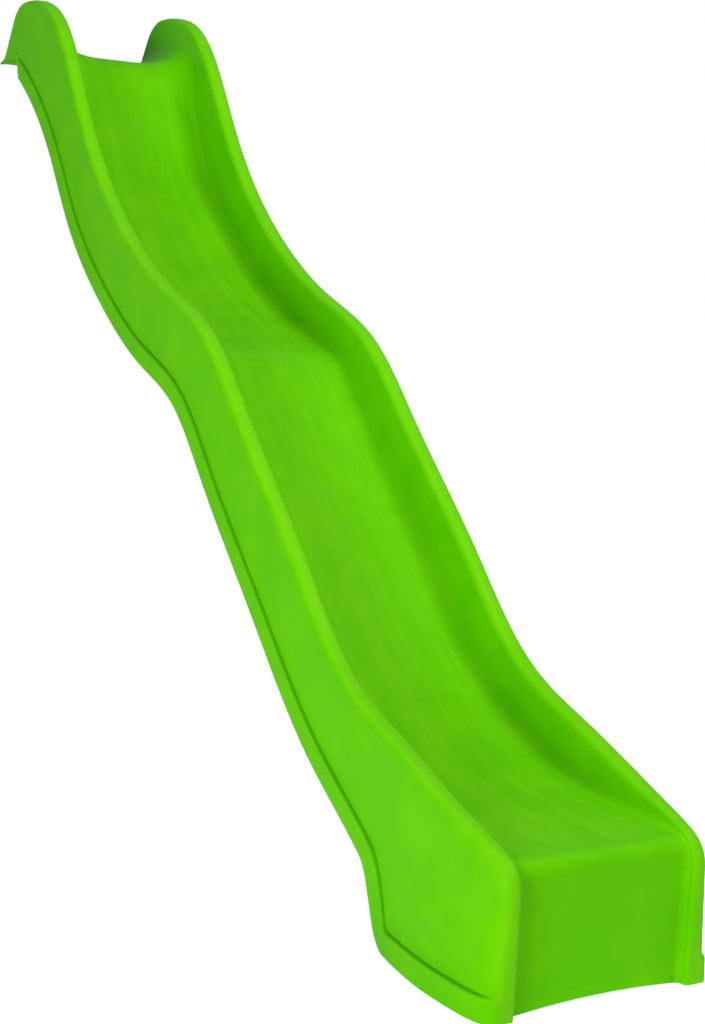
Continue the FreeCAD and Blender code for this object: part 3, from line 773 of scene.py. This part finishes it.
    def sweep(self) -> bmesh.types.BMesh:
        """Sweep the half section along the stations, and mirror it.

        Returns:
            The chute's upper and outer surface, with its marks in vertex layers, painted shade
            in the joggle's crease among them.
        """
        bed, ridge, trim = self.profile.stations(self.station_spacing)
        front = 1.0 - ease((ridge[:, 0] - self.leg_fade_start) / self.leg_fade)
        lip_start = self.profile.bed_parts[Bed.LIP.value].start[0]
        lip = ease((bed[:, 0] - lip_start + self.lip_fade_start) / self.lip_fade)
        spans = self.band_spans(ridge, trim)
        halves, first_outer = [], 0
        for index in range(len(bed)):
            half, first_outer = self.section(bed[index], ridge[index], trim[index],
                                             float(front[index]), float(lip[index]),
                                             spans[index])
            halves.append(half)
        table = np.array(halves)
        outer = table[:, first_outer:]
        shares = np.repeat(front, outer.shape[1])
        flat = self.outer_x(outer[..., 1:].reshape(-1, 2), shares)
        outer[..., 0] = flat.reshape(outer.shape[:2])
        outer[:, -1, 0] -= self.edge_round * self.edge_tuck_share
        table[..., 1] -= self.profile.middle
        self.shape_front(table)
        rub, crown, crease_shade = self.row_marks(table.shape[1])
        # How strongly each station takes the painted crease shade, faded near the deck and where
        # the band runs out.
        deck_near = self.profile.deck_edge - self.crease_shade_fade_end - trim[:, 0]
        banded = ease(deck_near / self.crease_shade_fade)
        banded = banded * ease((spans[:, 0] - self.crease_shade_low) / self.crease_shade_fade)
        along = np.concatenate(([0.0], np.cumsum(np.linalg.norm(np.diff(bed, axis=0), axis=1))))
        build = bmesh.new()
        row_of = build.verts.layers.int.new("row")
        rub_of, crown_of, crease_shade_of, along_of = (
            build.verts.layers.float.new(mark) for mark in ("rub", "crown", "crease_shade", "along"))
        chain = [build.verts.new(place) for place in table[0]]
        for row, vert in enumerate(chain):
            vert[row_of], vert[crown_of] = row, crown[row]
        edges = [build.edges.new(pair) for pair in zip(chain, chain[1:])]
        for half, length, share in zip(table[1:], along[1:], banded[1:]):
            made = bmesh.ops.extrude_edge_only(build, edges=edges)["geom"]
            edges = [item for item in made if isinstance(item, bmesh.types.BMEdge)]
            slid = float(ease(np.array((length - self.profile.exit_height) / self.rub_fade)))
            for vert in (item for item in made if isinstance(item, bmesh.types.BMVert)):
                vert.co = half[vert[row_of]]
                vert[along_of] = length
                vert[rub_of] = rub[vert[row_of]] * slid
                vert[crease_shade_of] = crease_shade[vert[row_of]] * share
        mirror_across(build, MIRROR_MERGE)
        bmesh.ops.remove_doubles(build, verts=build.verts, dist=ROW_MERGE)
        bmesh.ops.recalc_face_normals(build, faces=build.faces)
        bed_face = max(build.faces, key=lambda face: face.calc_center_median().z
                       - 10.0 * abs(face.calc_center_median().x))
        if bed_face.normal.z < 0.0:
            bmesh.ops.reverse_faces(build, faces=build.faces)
        return build

    def row_marks(self, count: int) -> tuple[np.ndarray, np.ndarray, np.ndarray]:
        """Weigh the marks of each row.

        Args:
            count: how many rows there are.

        Returns:
            For each row, how much it is slid on, how near it is to the ridge's top, which
            weighs its polish and painted highlight, and how near to the corner above the band,
            which weighs the painted shade in the joggle's crease.
        """
        bed_rows = len(self.bed_shares)
        first_top = bed_rows + self.fillet_rows + self.wall_rows - 1
        rows = np.arange(count)
        rub = 1.0 - ease((rows - bed_rows + 1.0) / self.fillet_rows)
        crown_gap = np.abs(rows - first_top - self.round_rows)
        # Nearness to the ridge's top, which weighs its polish and painted highlight.
        crown = 1.0 - ease(crown_gap / (self.crown_reach * self.round_rows))
        # The corner above the band, where a dark line of painted shade is drawn.
        corner = count - 1 - self.band_rows - self.joggle_rows
        crease_shade = 1.0 - ease(np.abs(rows - corner - 1.0) / self.crease_shade_reach)
        return rub, crown, crease_shade

    def shape_front(self, table: np.ndarray) -> None:
        """Raise the panel's lower edge into its arch and give it a thin rim.

        Args:
            table: every station's half section, changed in place.
        """
        on_panel = np.abs(table[..., 1] + self.profile.middle) < ON_FACE
        on_panel &= (table[..., 2] < self.arch_reach) & (table[..., 0] <= self.half_channel)
        arch = self.arch_rise * (1.0 - (table[..., 0] / self.half_channel) ** 2)
        height = table[..., 2]
        lifted = height + arch * (1.0 - height / self.arch_reach)
        over_rim = (lifted - arch - self.rim_height) / self.rim_blend
        rim = self.rim_depth * (1.0 - ease(over_rim + 0.5))
        table[..., 2] = np.where(on_panel, lifted, height)
        table[..., 1] = np.where(on_panel, table[..., 1] - rim, table[..., 1])

    def drill(self) -> bpy.types.Object:
        """Return a cutter for the lip's two screw holes."""
        build = bmesh.new()
        place_y = self.profile.deck_edge + self.lip_hole_inset - self.profile.middle
        for side in SIDES:
            place = Vector((side * self.lip_hole_spacing / 2.0, place_y,
                            self.profile.deck_height))
            bmesh.ops.create_cone(
                build, cap_ends=True, segments=HOLE_FACETS, radius1=self.lip_hole / 2.0,
                radius2=self.lip_hole / 2.0, depth=self.cutter_depth,
                matrix=Matrix.Translation(place))
        return meshed("drill", build)

    def shell(self) -> None:
        """Build the chute's wall, with its lip holes drilled."""
        piece = finished("chute_shell", self.sweep(), self.material)
        thicken(piece, self.profile.sheet)
        cutter = self.drill()
        holes = piece.modifiers.new("holes", "BOOLEAN")
        holes.operation = "DIFFERENCE"
        holes.object = cutter
        holes.solver = "EXACT"
        settle(piece)
        for vertex in piece.data.vertices:
            vertex.co.z = max(vertex.co.z, 0.0)
        bpy.data.objects.remove(cutter)
        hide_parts("chute")

    def deck_wall(self) -> None:
        """Build the wall under the lip that stands against the deck's edge."""
        inside = self.half_channel + self.ridge_width - self.profile.sheet / 2.0
        rear = self.profile.deck_edge - self.profile.middle
        low = Vector((-inside, rear - self.profile.sheet,
                      self.profile.deck_height - self.profile.notch_depth + MM))
        high = Vector((inside, rear, self.profile.deck_height + self.profile.sheet / 2.0))
        finished("chute_deck_wall", bevelled_box(low, high, MM), self.material)

    def make(self) -> None:
        """Build every piece of the moulding."""
        self.shell()
        self.deck_wall()


# ---------------------------------------------------------------- what stiffens it from below


@dataclass
class Stiffening:
    """The moulded seats and foot lugs, and the steel bearers with their screws."""

    profile: ChuteProfile
    plastic: bpy.types.Material
    steel: bpy.types.Material
    zinc: bpy.types.Material
    half_channel: float = 0.156
    half_skirt: float = 0.192
    bearer_first: float = 0.330
    bearer_rear: float = 0.227
    bearer_count: int = 7
    bearer_depth: float = 0.020
    bearer_wide: float = 0.040
    bearer_steel: float = 0.0025
    fold_radius: float = 0.0035
    end_clearance: float = 0.0015
    rib_depth: float = 0.011
    rib_wide: float = 0.034
    rib_inset: float = 0.008
    rib_sunk: float = 0.002
    rib_round: float = 0.0025
    screw_spacing: float = 0.230
    screw_head: float = 0.010
    tie_setback: float = 0.060
    tie_screw_inset: float = 0.023
    tie_steel: float = 0.003
    lug_end: float = 0.030
    lug_wide: float = 0.026
    lug_foot: float = 0.006
    lug_tall: float = 0.016
    lug_round: float = 0.002
    lug_outside: float = 0.2160

    def seat(self, index: int) -> Matrix:
        """Return where a bearer's top meets its moulded seat, as a matrix."""
        run = sum(stretch.length for stretch in self.profile.bed_parts[Bed.OUTLET.value:])
        run -= self.bearer_first + self.bearer_rear
        place, heading = self.profile.bed_at(
            self.bearer_first + run * index / (self.bearer_count - 1))
        place = place - upward(heading) * (self.profile.sheet + self.rib_depth)
        move = Matrix.Translation((0.0, place[0] - self.profile.middle, place[1]))
        return move @ Matrix.Rotation(math.radians(heading), 4, "X")

    def rib(self, index: int) -> None:
        """Build one moulded seat under the bed."""
        half = self.half_channel - self.rib_inset
        low = Vector((-half, -self.rib_wide / 2.0, 0.0))
        high = Vector((half, self.rib_wide / 2.0, self.rib_depth + self.rib_sunk))
        build = bevelled_box(low, high, self.rib_round, SMALL_ROUND_FACETS)
        bmesh.ops.transform(build, matrix=self.seat(index), verts=build.verts)
        finished(f"chute_seat_{index + 1}", build, self.plastic)

    def lugs(self) -> None:
        """Build the two moulded lugs that carry the foot tie."""
        y = self.tie_setback - self.profile.middle
        start = self.half_skirt - self.tie_screw_inset - self.lug_end
        low = Vector((start, y - self.lug_wide / 2.0, self.lug_foot))
        high = Vector((self.lug_outside, y + self.lug_wide / 2.0, self.lug_foot + self.lug_tall))
        build = bevelled_box(low, high, self.lug_round, SMALL_ROUND_FACETS)
        mirror_across(build, -1.0)
        bmesh.ops.recalc_face_normals(build, faces=build.faces)
        finished("chute_foot_lugs", build, self.plastic)

    def bearer(self, index: int) -> None:
        """Build one bearer: a plate whose long edges are folded down."""
        half = self.half_skirt - self.profile.sheet - self.end_clearance
        build = bmesh.new()
        bmesh.ops.create_grid(build, x_segments=1, y_segments=1, size=0.5)
        bmesh.ops.scale(build, vec=(2.0 * half, self.bearer_wide, 1.0), verts=build.verts)
        folds = [edge for edge in build.edges
                 if abs(edge.verts[0].co.y - edge.verts[1].co.y) < TINY]
        made = bmesh.ops.extrude_edge_only(build, edges=folds)["geom"]
        bmesh.ops.translate(build, vec=(0.0, 0.0, -self.bearer_depth),
                            verts=[item for item in made if isinstance(item, bmesh.types.BMVert)])
        folds = [edge for edge in build.edges if len(edge.link_faces) == 2]
        bmesh.ops.bevel(build, geom=folds, offset=self.fold_radius, affect="EDGES",
                        segments=FOLD_FACETS, profile=0.5, material=-1)
        bmesh.ops.recalc_face_normals(build, faces=build.faces)
        top = max(build.faces, key=lambda face: face.calc_area())
        if top.normal.z < 0.0:
            bmesh.ops.reverse_faces(build, faces=build.faces)
        bmesh.ops.transform(build, matrix=self.seat(index), verts=build.verts)
        piece = finished(f"bearer_channel_{index + 1}", build, self.steel)
        thicken(piece, self.bearer_steel)
        settle(piece)
        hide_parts(f"bearer_{index + 1}")

    def screw(self, build: bmesh.types.BMesh, place: Matrix) -> None:
        """Add one pan-head screw with a six-lobed socket.

        Args:
            build: the mesh that it is added to.
            place: where its head meets the steel, with the head along +Z.
        """
        before = set(build.verts)
        radius = self.screw_head / 2.0
        bmesh.ops.create_circle(build, cap_ends=True, segments=SCREW_FACETS, radius=radius)
        face = next(item for item in build.faces if set(item.verts).isdisjoint(before))
        for number, (inset, rise) in enumerate(SCREW_STEPS):
            if inset > 0.0:
                bmesh.ops.inset_region(build, faces=[face], thickness=inset)
            else:
                made = bmesh.ops.extrude_face_region(build, geom=[face])["geom"]
                old = face
                face = next(item for item in made if isinstance(item, bmesh.types.BMFace))
                if old.is_valid and old is not face and rise < 0.0:
                    bmesh.ops.delete(build, geom=[old], context="FACES_ONLY")
            bmesh.ops.translate(build, vec=(0.0, 0.0, rise), verts=face.verts)
            if number == SOCKET_STEP:
                for vert in face.verts:
                    turn = math.atan2(vert.co.y, vert.co.x)
                    vert.co.xy *= 1.0 + SOCKET_LOBE_DEPTH * math.cos(SOCKET_LOBES * turn)
        fresh = [vert for vert in build.verts if vert not in before]
        bmesh.ops.transform(build, matrix=place, verts=fresh)

    def screw_pair(self, name: str, places: list[Matrix]) -> bpy.types.Object:
        """Build two screws as one piece.

        Args:
            name: the piece's name.
            places: where each head meets the steel.

        Returns:
            The piece.
        """
        build = bmesh.new()
        for place in places:
            self.screw(build, place)
        piece = finished(name, build, self.zinc)
        piece.data.set_sharp_from_angle(angle=SHARP_ANGLE)
        return piece

    def bearer_screws(self, index: int) -> None:
        """Build the two screws of one bearer."""
        turn = Matrix.Rotation(math.pi, 4, "X")
        shifts = [(side * self.screw_spacing / 2.0, 0.0, -self.bearer_steel) for side in SIDES]
        places = [self.seat(index) @ Matrix.Translation(shift) @ turn for shift in shifts]
        piece = self.screw_pair(f"bearer_screw_heads_{index + 1}", places)
        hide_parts(f"bearer_screws_{index + 1}")

    def tie_screws(self) -> None:
        """Build the foot tie's two screws."""
        out = self.half_skirt - self.tie_screw_inset
        y = self.tie_setback - self.profile.middle
        height = self.lug_foot + self.lug_tall + self.tie_steel
        places = [Matrix.Translation((side * out, y, height)) for side in SIDES]
        piece = self.screw_pair("foot_tie_screw_heads", places)
        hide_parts("foot_tie_screws")

    def make(self) -> None:
        """Build every piece, and dress the foot tie."""
        for index in range(self.bearer_count):
            self.rib(index)
            self.bearer(index)
            self.bearer_screws(index)
        self.lugs()
        self.tie_screws()
        dress(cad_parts["foot_tie"], self.steel)


# ---------------------------------------------------------------- finishes


class Nodes:
    """A short way to add nodes to a tree and join them."""

    def __init__(self, tree: bpy.types.NodeTree) -> None:
        """Keep the tree."""
        self.tree = tree

    def add(self, kind: str, inputs: dict | None = None, **settings: object) -> bpy.types.Node:
        """Add a node.

        Args:
            kind: the node's type.
            inputs: a value or another node's output socket for each named or numbered input.
            settings: the node's own properties.

        Returns:
            The node.
        """
        node = self.tree.nodes.new(kind)
        for name, value in settings.items():
            setattr(node, name, value)
        for name, value in (inputs or {}).items():
            if isinstance(value, bpy.types.NodeSocket):
                self.tree.links.new(value, node.inputs[name])
            else:
                node.inputs[name].default_value = value
        return node

    def link(self, source: bpy.types.NodeSocket, target: bpy.types.NodeSocket) -> None:
        """Join an output socket to an input socket."""
        self.tree.links.new(source, target)

    def math(self, operation: str, first: object, second: object = 0.0) -> bpy.types.NodeSocket:
        """Return the result of a sum on two values or sockets."""
        return self.add("ShaderNodeMath", {0: first, 1: second}, operation=operation).outputs[0]

    def times(self, first: object, second: object) -> bpy.types.NodeSocket:
        """Return the product of two values or sockets."""
        return self.math("MULTIPLY", first, second)

    def attribute(self, name: str) -> bpy.types.NodeSocket:
        """Return a vertex mark of the mesh."""
        return self.add("ShaderNodeAttribute", attribute_name=name).outputs["Fac"]

    def group(self, tree: bpy.types.NodeTree, inputs: dict) -> bpy.types.Node:
        """Add a node group, with a value or socket for each of its inputs."""
        return self.add("ShaderNodeGroup", inputs, node_tree=tree)

    def band(self, value: object, low: float, high: float, start: float = 0.0,
             end: float = 1.0) -> bpy.types.NodeSocket:
        """Return a value mapped smoothly from low..high on to start..end."""
        node = self.add("ShaderNodeMapRange", {"Value": value, "From Min": low, "From Max": high,
                                               "To Min": start, "To Max": end},
                        interpolation_type="SMOOTHSTEP")
        return node.outputs["Result"]

    def noise(self, vector: object, scale: float, detail: float = 3.0,
              roughness: float = 0.5) -> bpy.types.NodeSocket:
        """Return a noise between 0 and 1."""
        node = self.add("ShaderNodeTexNoise", {"Vector": vector, "Scale": scale, "Detail": detail,
                                               "Roughness": roughness})
        return node.outputs["Fac"]

    def mix(self, share: object, first: object, second: object) -> bpy.types.NodeSocket:
        """Return a blend of two colours."""
        node = self.add("ShaderNodeMix", {0: share, 6: first, 7: second}, data_type="RGBA")
        return node.outputs[2]


def new_material(name: str) -> tuple[bpy.types.Material, Nodes, bpy.types.Node]:
    """Return a new material, its nodes and its surface shader."""
    material = bpy.data.materials.new(name)
    material.use_nodes = True
    return material, Nodes(material.node_tree), material.node_tree.nodes["Principled BSDF"]


def new_group(name: str, inputs: dict[str, str],
              outputs: dict[str, str]) -> tuple[Nodes, dict, dict]:
    """Start a shader node group.

    Args:
        name: its name.
        inputs: the socket type of each input.
        outputs: the socket type of each output.

    Returns:
        The group's nodes, its input sockets by name and the sockets that its outputs take.
    """
    tree = bpy.data.node_groups.new(name, "ShaderNodeTree")
    for direction, sockets in (("INPUT", inputs), ("OUTPUT", outputs)):
        for label, kind in sockets.items():
            tree.interface.new_socket(name=label, in_out=direction, socket_type=kind)
    nodes = Nodes(tree)
    source, sink = nodes.add("NodeGroupInput"), nodes.add("NodeGroupOutput")
    return (nodes, {label: source.outputs[label] for label in inputs},
            {label: sink.inputs[label] for label in outputs})


FLOAT, VECTOR = "NodeSocketFloat", "NodeSocketVector"
Colour = tuple[float, float, float, float]


def moulded_skin() -> bpy.types.NodeTree:
    """Build the effect of a moulding's skin: soft waves, orange peel and a faint mottle."""
    nodes, given, wanted = new_group(
        "moulded_skin", {"Vector": VECTOR, "Wave": FLOAT, "Peel": FLOAT},
        {"Height": FLOAT, "Mottle": FLOAT})
    wave = nodes.noise(given["Vector"], scale=7.0, detail=2.0, roughness=0.4)
    peel = nodes.noise(given["Vector"], scale=520.0, detail=2.0, roughness=0.5)
    pits = nodes.noise(given["Vector"], scale=1900.0, detail=1.0, roughness=0.5)
    fine = nodes.math("ADD", peel, nodes.times(pits, 0.4))
    height = nodes.math("ADD", nodes.times(wave, given["Wave"]), nodes.times(fine, given["Peel"]))
    cloud = nodes.noise(given["Vector"], scale=11.0, detail=5.0, roughness=0.62)
    nodes.link(height, wanted["Height"])
    nodes.link(nodes.band(cloud, low=0.36, high=0.66), wanted["Mottle"])
    return nodes.tree


def fine_marks() -> bpy.types.NodeTree:
    """Build the effect of fine marks along a direction: long hairlines broken up by a cloud."""
    nodes, given, wanted = new_group(
        "fine_marks", {"Vector": VECTOR, "Amount": FLOAT}, {"Mask": FLOAT, "Cloud": FLOAT})
    lines = nodes.noise(given["Vector"], scale=1.0, detail=6.0, roughness=0.65)
    sharp = nodes.band(lines, low=0.545, high=0.60)
    cloud = nodes.noise(given["Vector"], scale=0.09, detail=4.0, roughness=0.6)
    patch = nodes.band(cloud, low=0.42, high=0.62)
    nodes.link(nodes.times(nodes.times(sharp, patch), given["Amount"]), wanted["Mask"])
    nodes.link(patch, wanted["Cloud"])
    return nodes.tree


def dust_fall() -> bpy.types.NodeTree:
    """Build the effect of dust that settles on faces that look up, in a broken cloud."""
    nodes, given, wanted = new_group(
        "dust_fall", {"Vector": VECTOR, "Amount": FLOAT}, {"Mask": FLOAT})
    normal = nodes.add("ShaderNodeNewGeometry").outputs["Normal"]
    facing = nodes.add("ShaderNodeSeparateXYZ", {0: normal}).outputs["Z"]
    up = nodes.band(facing, low=0.35, high=0.98)
    cloud = nodes.noise(given["Vector"], scale=60.0, detail=6.0, roughness=0.7)
    specks = nodes.band(cloud, low=0.45, high=0.75)
    nodes.link(nodes.times(nodes.times(up, specks), given["Amount"]), wanted["Mask"])
    return nodes.tree


@dataclass(frozen=True)
class Effects:
    """The node groups that the finishes share."""

    skin: bpy.types.NodeTree
    marks: bpy.types.NodeTree
    dust: bpy.types.NodeTree


@dataclass(frozen=True)
class MouldedPlastic:
    """Semi-gloss lime polyethylene, with the soft unevenness of a moulding and light scuffs."""

    # Besides its own colour, scuffs and dust, it paints a highlight on the ridge tops and shade in
    # the joggle's crease.
    colour: Colour = (0.112, 0.505, 0.0, 1.0)
    deep: Colour = (0.092, 0.478, 0.0, 1.0)
    # Colour of scuffs and polish, also used as a painted highlight on the ridge tops.
    wear_and_highlight: Colour = (0.190, 0.600, 0.008, 1.0)
    dusted: Colour = (0.30, 0.56, 0.10, 1.0)
    # Painted shade: the dark colour of the line in the joggle's crease.
    shaded: Colour = (0.01, 0.20, 0.0, 1.0)
    gloss: Colour = (0.80, 1.0, 0.10, 1.0)
    wave: float = 1.0
    peel: float = 0.05
    dust: float = 0.06
    smudge: float = 0.14
    scratch: float = 0.30
    polish_and_highlight: float = 0.30
    crease_shade_strength: float = 0.62
    roughness: float = 0.44
    smoother: float = 0.04
    rougher: float = 0.05
    scratch_rough: float = 0.12
    polish_smooth: float = 0.07
    scratch_depth: float = 0.03
    bump: float = 0.35
    bump_height: float = 0.0015
    specular: float = 0.07
    marks_across: float = 420.0
    marks_along: float = 9.0

    def make(self, effects: Effects) -> bpy.types.Material:
        """Return the material."""
        material, nodes, shader = new_material("lime_moulding")
        place = nodes.add("ShaderNodeTexCoord").outputs["Object"]
        rub, crown = nodes.attribute("rub"), nodes.attribute("crown")
        across = nodes.add("ShaderNodeSeparateXYZ", {0: place}).outputs["X"]
        run = nodes.add("ShaderNodeCombineXYZ", {
            "X": nodes.times(across, self.marks_across),
            "Y": nodes.times(nodes.attribute("along"), self.marks_along)}).outputs[0]
        skin = nodes.group(effects.skin, {"Wave": self.wave, "Peel": self.peel, "Vector": place})
        marks = nodes.group(effects.marks, {"Vector": run, "Amount": rub})
        dust = nodes.group(effects.dust, {"Vector": place, "Amount": self.dust})
        mottled = nodes.mix(skin.outputs["Mottle"], self.deep, self.colour)
        smudge = nodes.times(nodes.times(marks.outputs["Cloud"], rub), self.smudge)
        smudged = nodes.mix(smudge, mottled, self.wear_and_highlight)
        scratch = nodes.times(marks.outputs["Mask"], self.scratch)
        scratched = nodes.mix(scratch, smudged, self.wear_and_highlight)
        # Ridge tops lightened toward the worn colour: partly polish, partly a painted highlight.
        polished_and_lit = nodes.mix(nodes.times(crown, self.polish_and_highlight), scratched, self.wear_and_highlight)
        dusty = nodes.mix(dust.outputs["Mask"], polished_and_lit, self.dusted)
        # Painted shade: a dark line along the joggle's crease above the band.
        shade = nodes.times(nodes.attribute("crease_shade"), self.crease_shade_strength)
        nodes.link(nodes.mix(shade, dusty, self.shaded), shader.inputs["Base Color"])
        rough = nodes.band(skin.outputs["Mottle"], 0.0, 1.0, self.roughness - self.smoother,
                           self.roughness + self.rougher)
        scored = nodes.times(marks.outputs["Mask"], self.scratch_rough)
        smooth = nodes.times(crown, self.polish_smooth)
        rough = nodes.math("SUBTRACT", nodes.math("ADD", rough, scored), smooth)
        nodes.link(rough, shader.inputs["Roughness"])
        cut = nodes.times(marks.outputs["Mask"], self.scratch_depth)
        height = nodes.math("SUBTRACT", skin.outputs["Height"], cut)
        bump = nodes.add("ShaderNodeBump", {"Strength": self.bump, "Distance": self.bump_height,
                                            "Height": height})
        nodes.link(bump.outputs["Normal"], shader.inputs["Normal"])
        shader.inputs["Specular IOR Level"].default_value = self.specular
        shader.inputs["Specular Tint"].default_value = self.gloss
        return material


@dataclass(frozen=True)
class ZincSteel:
    """Steel with a zinc skin: spangled where it was dipped, plain where it was plated."""

    name: str
    light: Colour
    dark: Colour
    spangle: float
    roughness: float
    dusted: Colour = (0.36, 0.33, 0.27, 1.0)
    wave: float = 0.3
    peel: float = 0.12
    dust: float = 0.35
    smoother: float = 0.08
    rougher: float = 0.10
    bump: float = 0.25
    bump_height: float = 0.0006

    def make(self, effects: Effects) -> bpy.types.Material:
        """Return the material."""
        material, nodes, shader = new_material(self.name)
        place = nodes.add("ShaderNodeTexCoord").outputs["Object"]
        cells = nodes.add("ShaderNodeTexVoronoi", {"Vector": place, "Scale": self.spangle,
                                                   "Randomness": 1.0})
        tone = nodes.add("ShaderNodeSeparateXYZ", {0: cells.outputs["Color"]}).outputs["X"]
        skin = nodes.group(effects.skin, {"Wave": self.wave, "Peel": self.peel, "Vector": place})
        dust = nodes.group(effects.dust, {"Vector": place, "Amount": self.dust})
        blend = nodes.times(nodes.math("ADD", tone, skin.outputs["Mottle"]), 0.5)
        metal = nodes.mix(blend, self.dark, self.light)
        nodes.link(nodes.mix(dust.outputs["Mask"], metal, self.dusted),
                   shader.inputs["Base Color"])
        rough = nodes.band(tone, 0.0, 1.0, self.roughness - self.smoother,
                           self.roughness + self.rougher)
        nodes.link(rough, shader.inputs["Roughness"])
        bump = nodes.add("ShaderNodeBump", {"Strength": self.bump, "Distance": self.bump_height,
                                            "Height": skin.outputs["Height"]})
        nodes.link(bump.outputs["Normal"], shader.inputs["Normal"])
        shader.inputs["Metallic"].default_value = 1.0
        return material


# ---------------------------------------------------------------- studio


@dataclass
class Studio:
    """Camera, soft lights and pale floor."""

    camera_place: tuple[float, float, float] = (-1.516, -2.972, 1.027)
    yaw: float = 30.09
    pitch: float = 7.93
    roll: float = 3.02
    lens: float = 59.2
    sensor: float = 36.0
    view_end: float = 100.0
    fill: float = 0.29
    target: tuple[float, float, float] = (0.0, 0.0, 0.8)
    key_place: tuple[float, float, float] = (-4.6, -2.6, 0.95)
    key_size: float = 2.0
    key_power: float = 186.0
    top_place: tuple[float, float, float] = (1.0, -2.1, 3.6)
    top_size: float = 2.2
    top_power: float = 112.0
    floor_half: float = 30.0
    floor_colour: Colour = (0.95, 0.95, 0.95, 1.0)
    floor_roughness: float = 0.9
    floor_glow: float = 0.76
    white: Colour = (1.0, 1.0, 1.0, 1.0)

    def camera(self) -> None:
        """Add the camera."""
        data = bpy.data.cameras.new("camera")
        data.lens = self.lens
        data.sensor_width = self.sensor
        data.clip_end = self.view_end
        yaw, pitch, roll = (math.radians(angle) for angle in (self.yaw, self.pitch, self.roll))
        ahead = Vector((math.sin(yaw) * math.cos(pitch), math.cos(yaw) * math.cos(pitch),
                        -math.sin(pitch)))
        level = Vector((math.cos(yaw), -math.sin(yaw), 0.0))
        over = level.cross(ahead)
        right = math.cos(roll) * level + math.sin(roll) * over
        up = -math.sin(roll) * level + math.cos(roll) * over
        turn = Matrix((right, up, -ahead)).transposed().to_4x4()
        camera = added("camera", data)
        camera.matrix_world = Matrix.Translation(self.camera_place) @ turn
        bpy.context.scene.camera = camera

    def light(self, name: str, place: tuple, size: float, power: float) -> None:
        """Add one soft area light that faces the slide.

        Args:
            name: its name.
            place: where it hangs.
            size: its side.
            power: its power in watts.
        """
        data = bpy.data.lights.new(name, "AREA")
        data.size = size
        data.energy = power
        light = added(name, data)
        light.location = place
        light.rotation_mode = "QUATERNION"
        ahead = Vector(self.target) - Vector(place)
        light.rotation_quaternion = ahead.to_track_quat("-Z", "Y")

    def floor(self) -> None:
        """Add the floor."""
        build = bmesh.new()
        bmesh.ops.create_grid(build, x_segments=1, y_segments=1, size=self.floor_half)
        floor = meshed("floor", build)
        material, nodes, shader = new_material("floor_paper")
        shader.inputs["Base Color"].default_value = self.floor_colour
        shader.inputs["Roughness"].default_value = self.floor_roughness
        shader.inputs["Emission Color"].default_value = self.white
        seen = nodes.add("ShaderNodeLightPath").outputs["Is Camera Ray"]
        nodes.link(nodes.times(seen, self.floor_glow), shader.inputs["Emission Strength"])
        floor.data.materials.append(material)

    def make(self) -> None:
        """Set the whole studio up."""
        self.camera()
        self.floor()
        world = bpy.data.worlds.new("studio_white")
        world.use_nodes = True
        nodes = Nodes(world.node_tree)
        back = world.node_tree.nodes["Background"]
        seen = nodes.add("ShaderNodeLightPath").outputs["Is Camera Ray"]
        back.inputs["Color"].default_value = self.white
        nodes.link(nodes.band(seen, 0.0, 1.0, self.fill, 1.0), back.inputs["Strength"])
        bpy.context.scene.world = world
        bpy.context.scene.view_settings.view_transform = "Standard"
        self.light("key", self.key_place, self.key_size, self.key_power)
        self.light("top", self.top_place, self.top_size, self.top_power)


def main() -> None:
    """Build the studio and every piece in order."""
    logging.basicConfig(level=logging.INFO, format="%(name)s: %(message)s")
    Studio().make()
    effects = Effects(moulded_skin(), fine_marks(), dust_fall())
    plastic = MouldedPlastic().make(effects)
    dipped = ZincSteel("dipped_zinc", light=(0.62, 0.63, 0.64, 1.0), dark=(0.42, 0.43, 0.45, 1.0),
                       spangle=90.0, roughness=0.42)
    plated = ZincSteel("plated_zinc", light=(0.70, 0.70, 0.69, 1.0), dark=(0.58, 0.58, 0.58, 1.0),
                       spangle=700.0, roughness=0.30)
    profile = ChuteProfile()
    Chute(profile, plastic).make()
    Stiffening(profile, plastic, dipped.make(effects), plated.make(effects)).make()


if __name__ == "__main__":
    main()
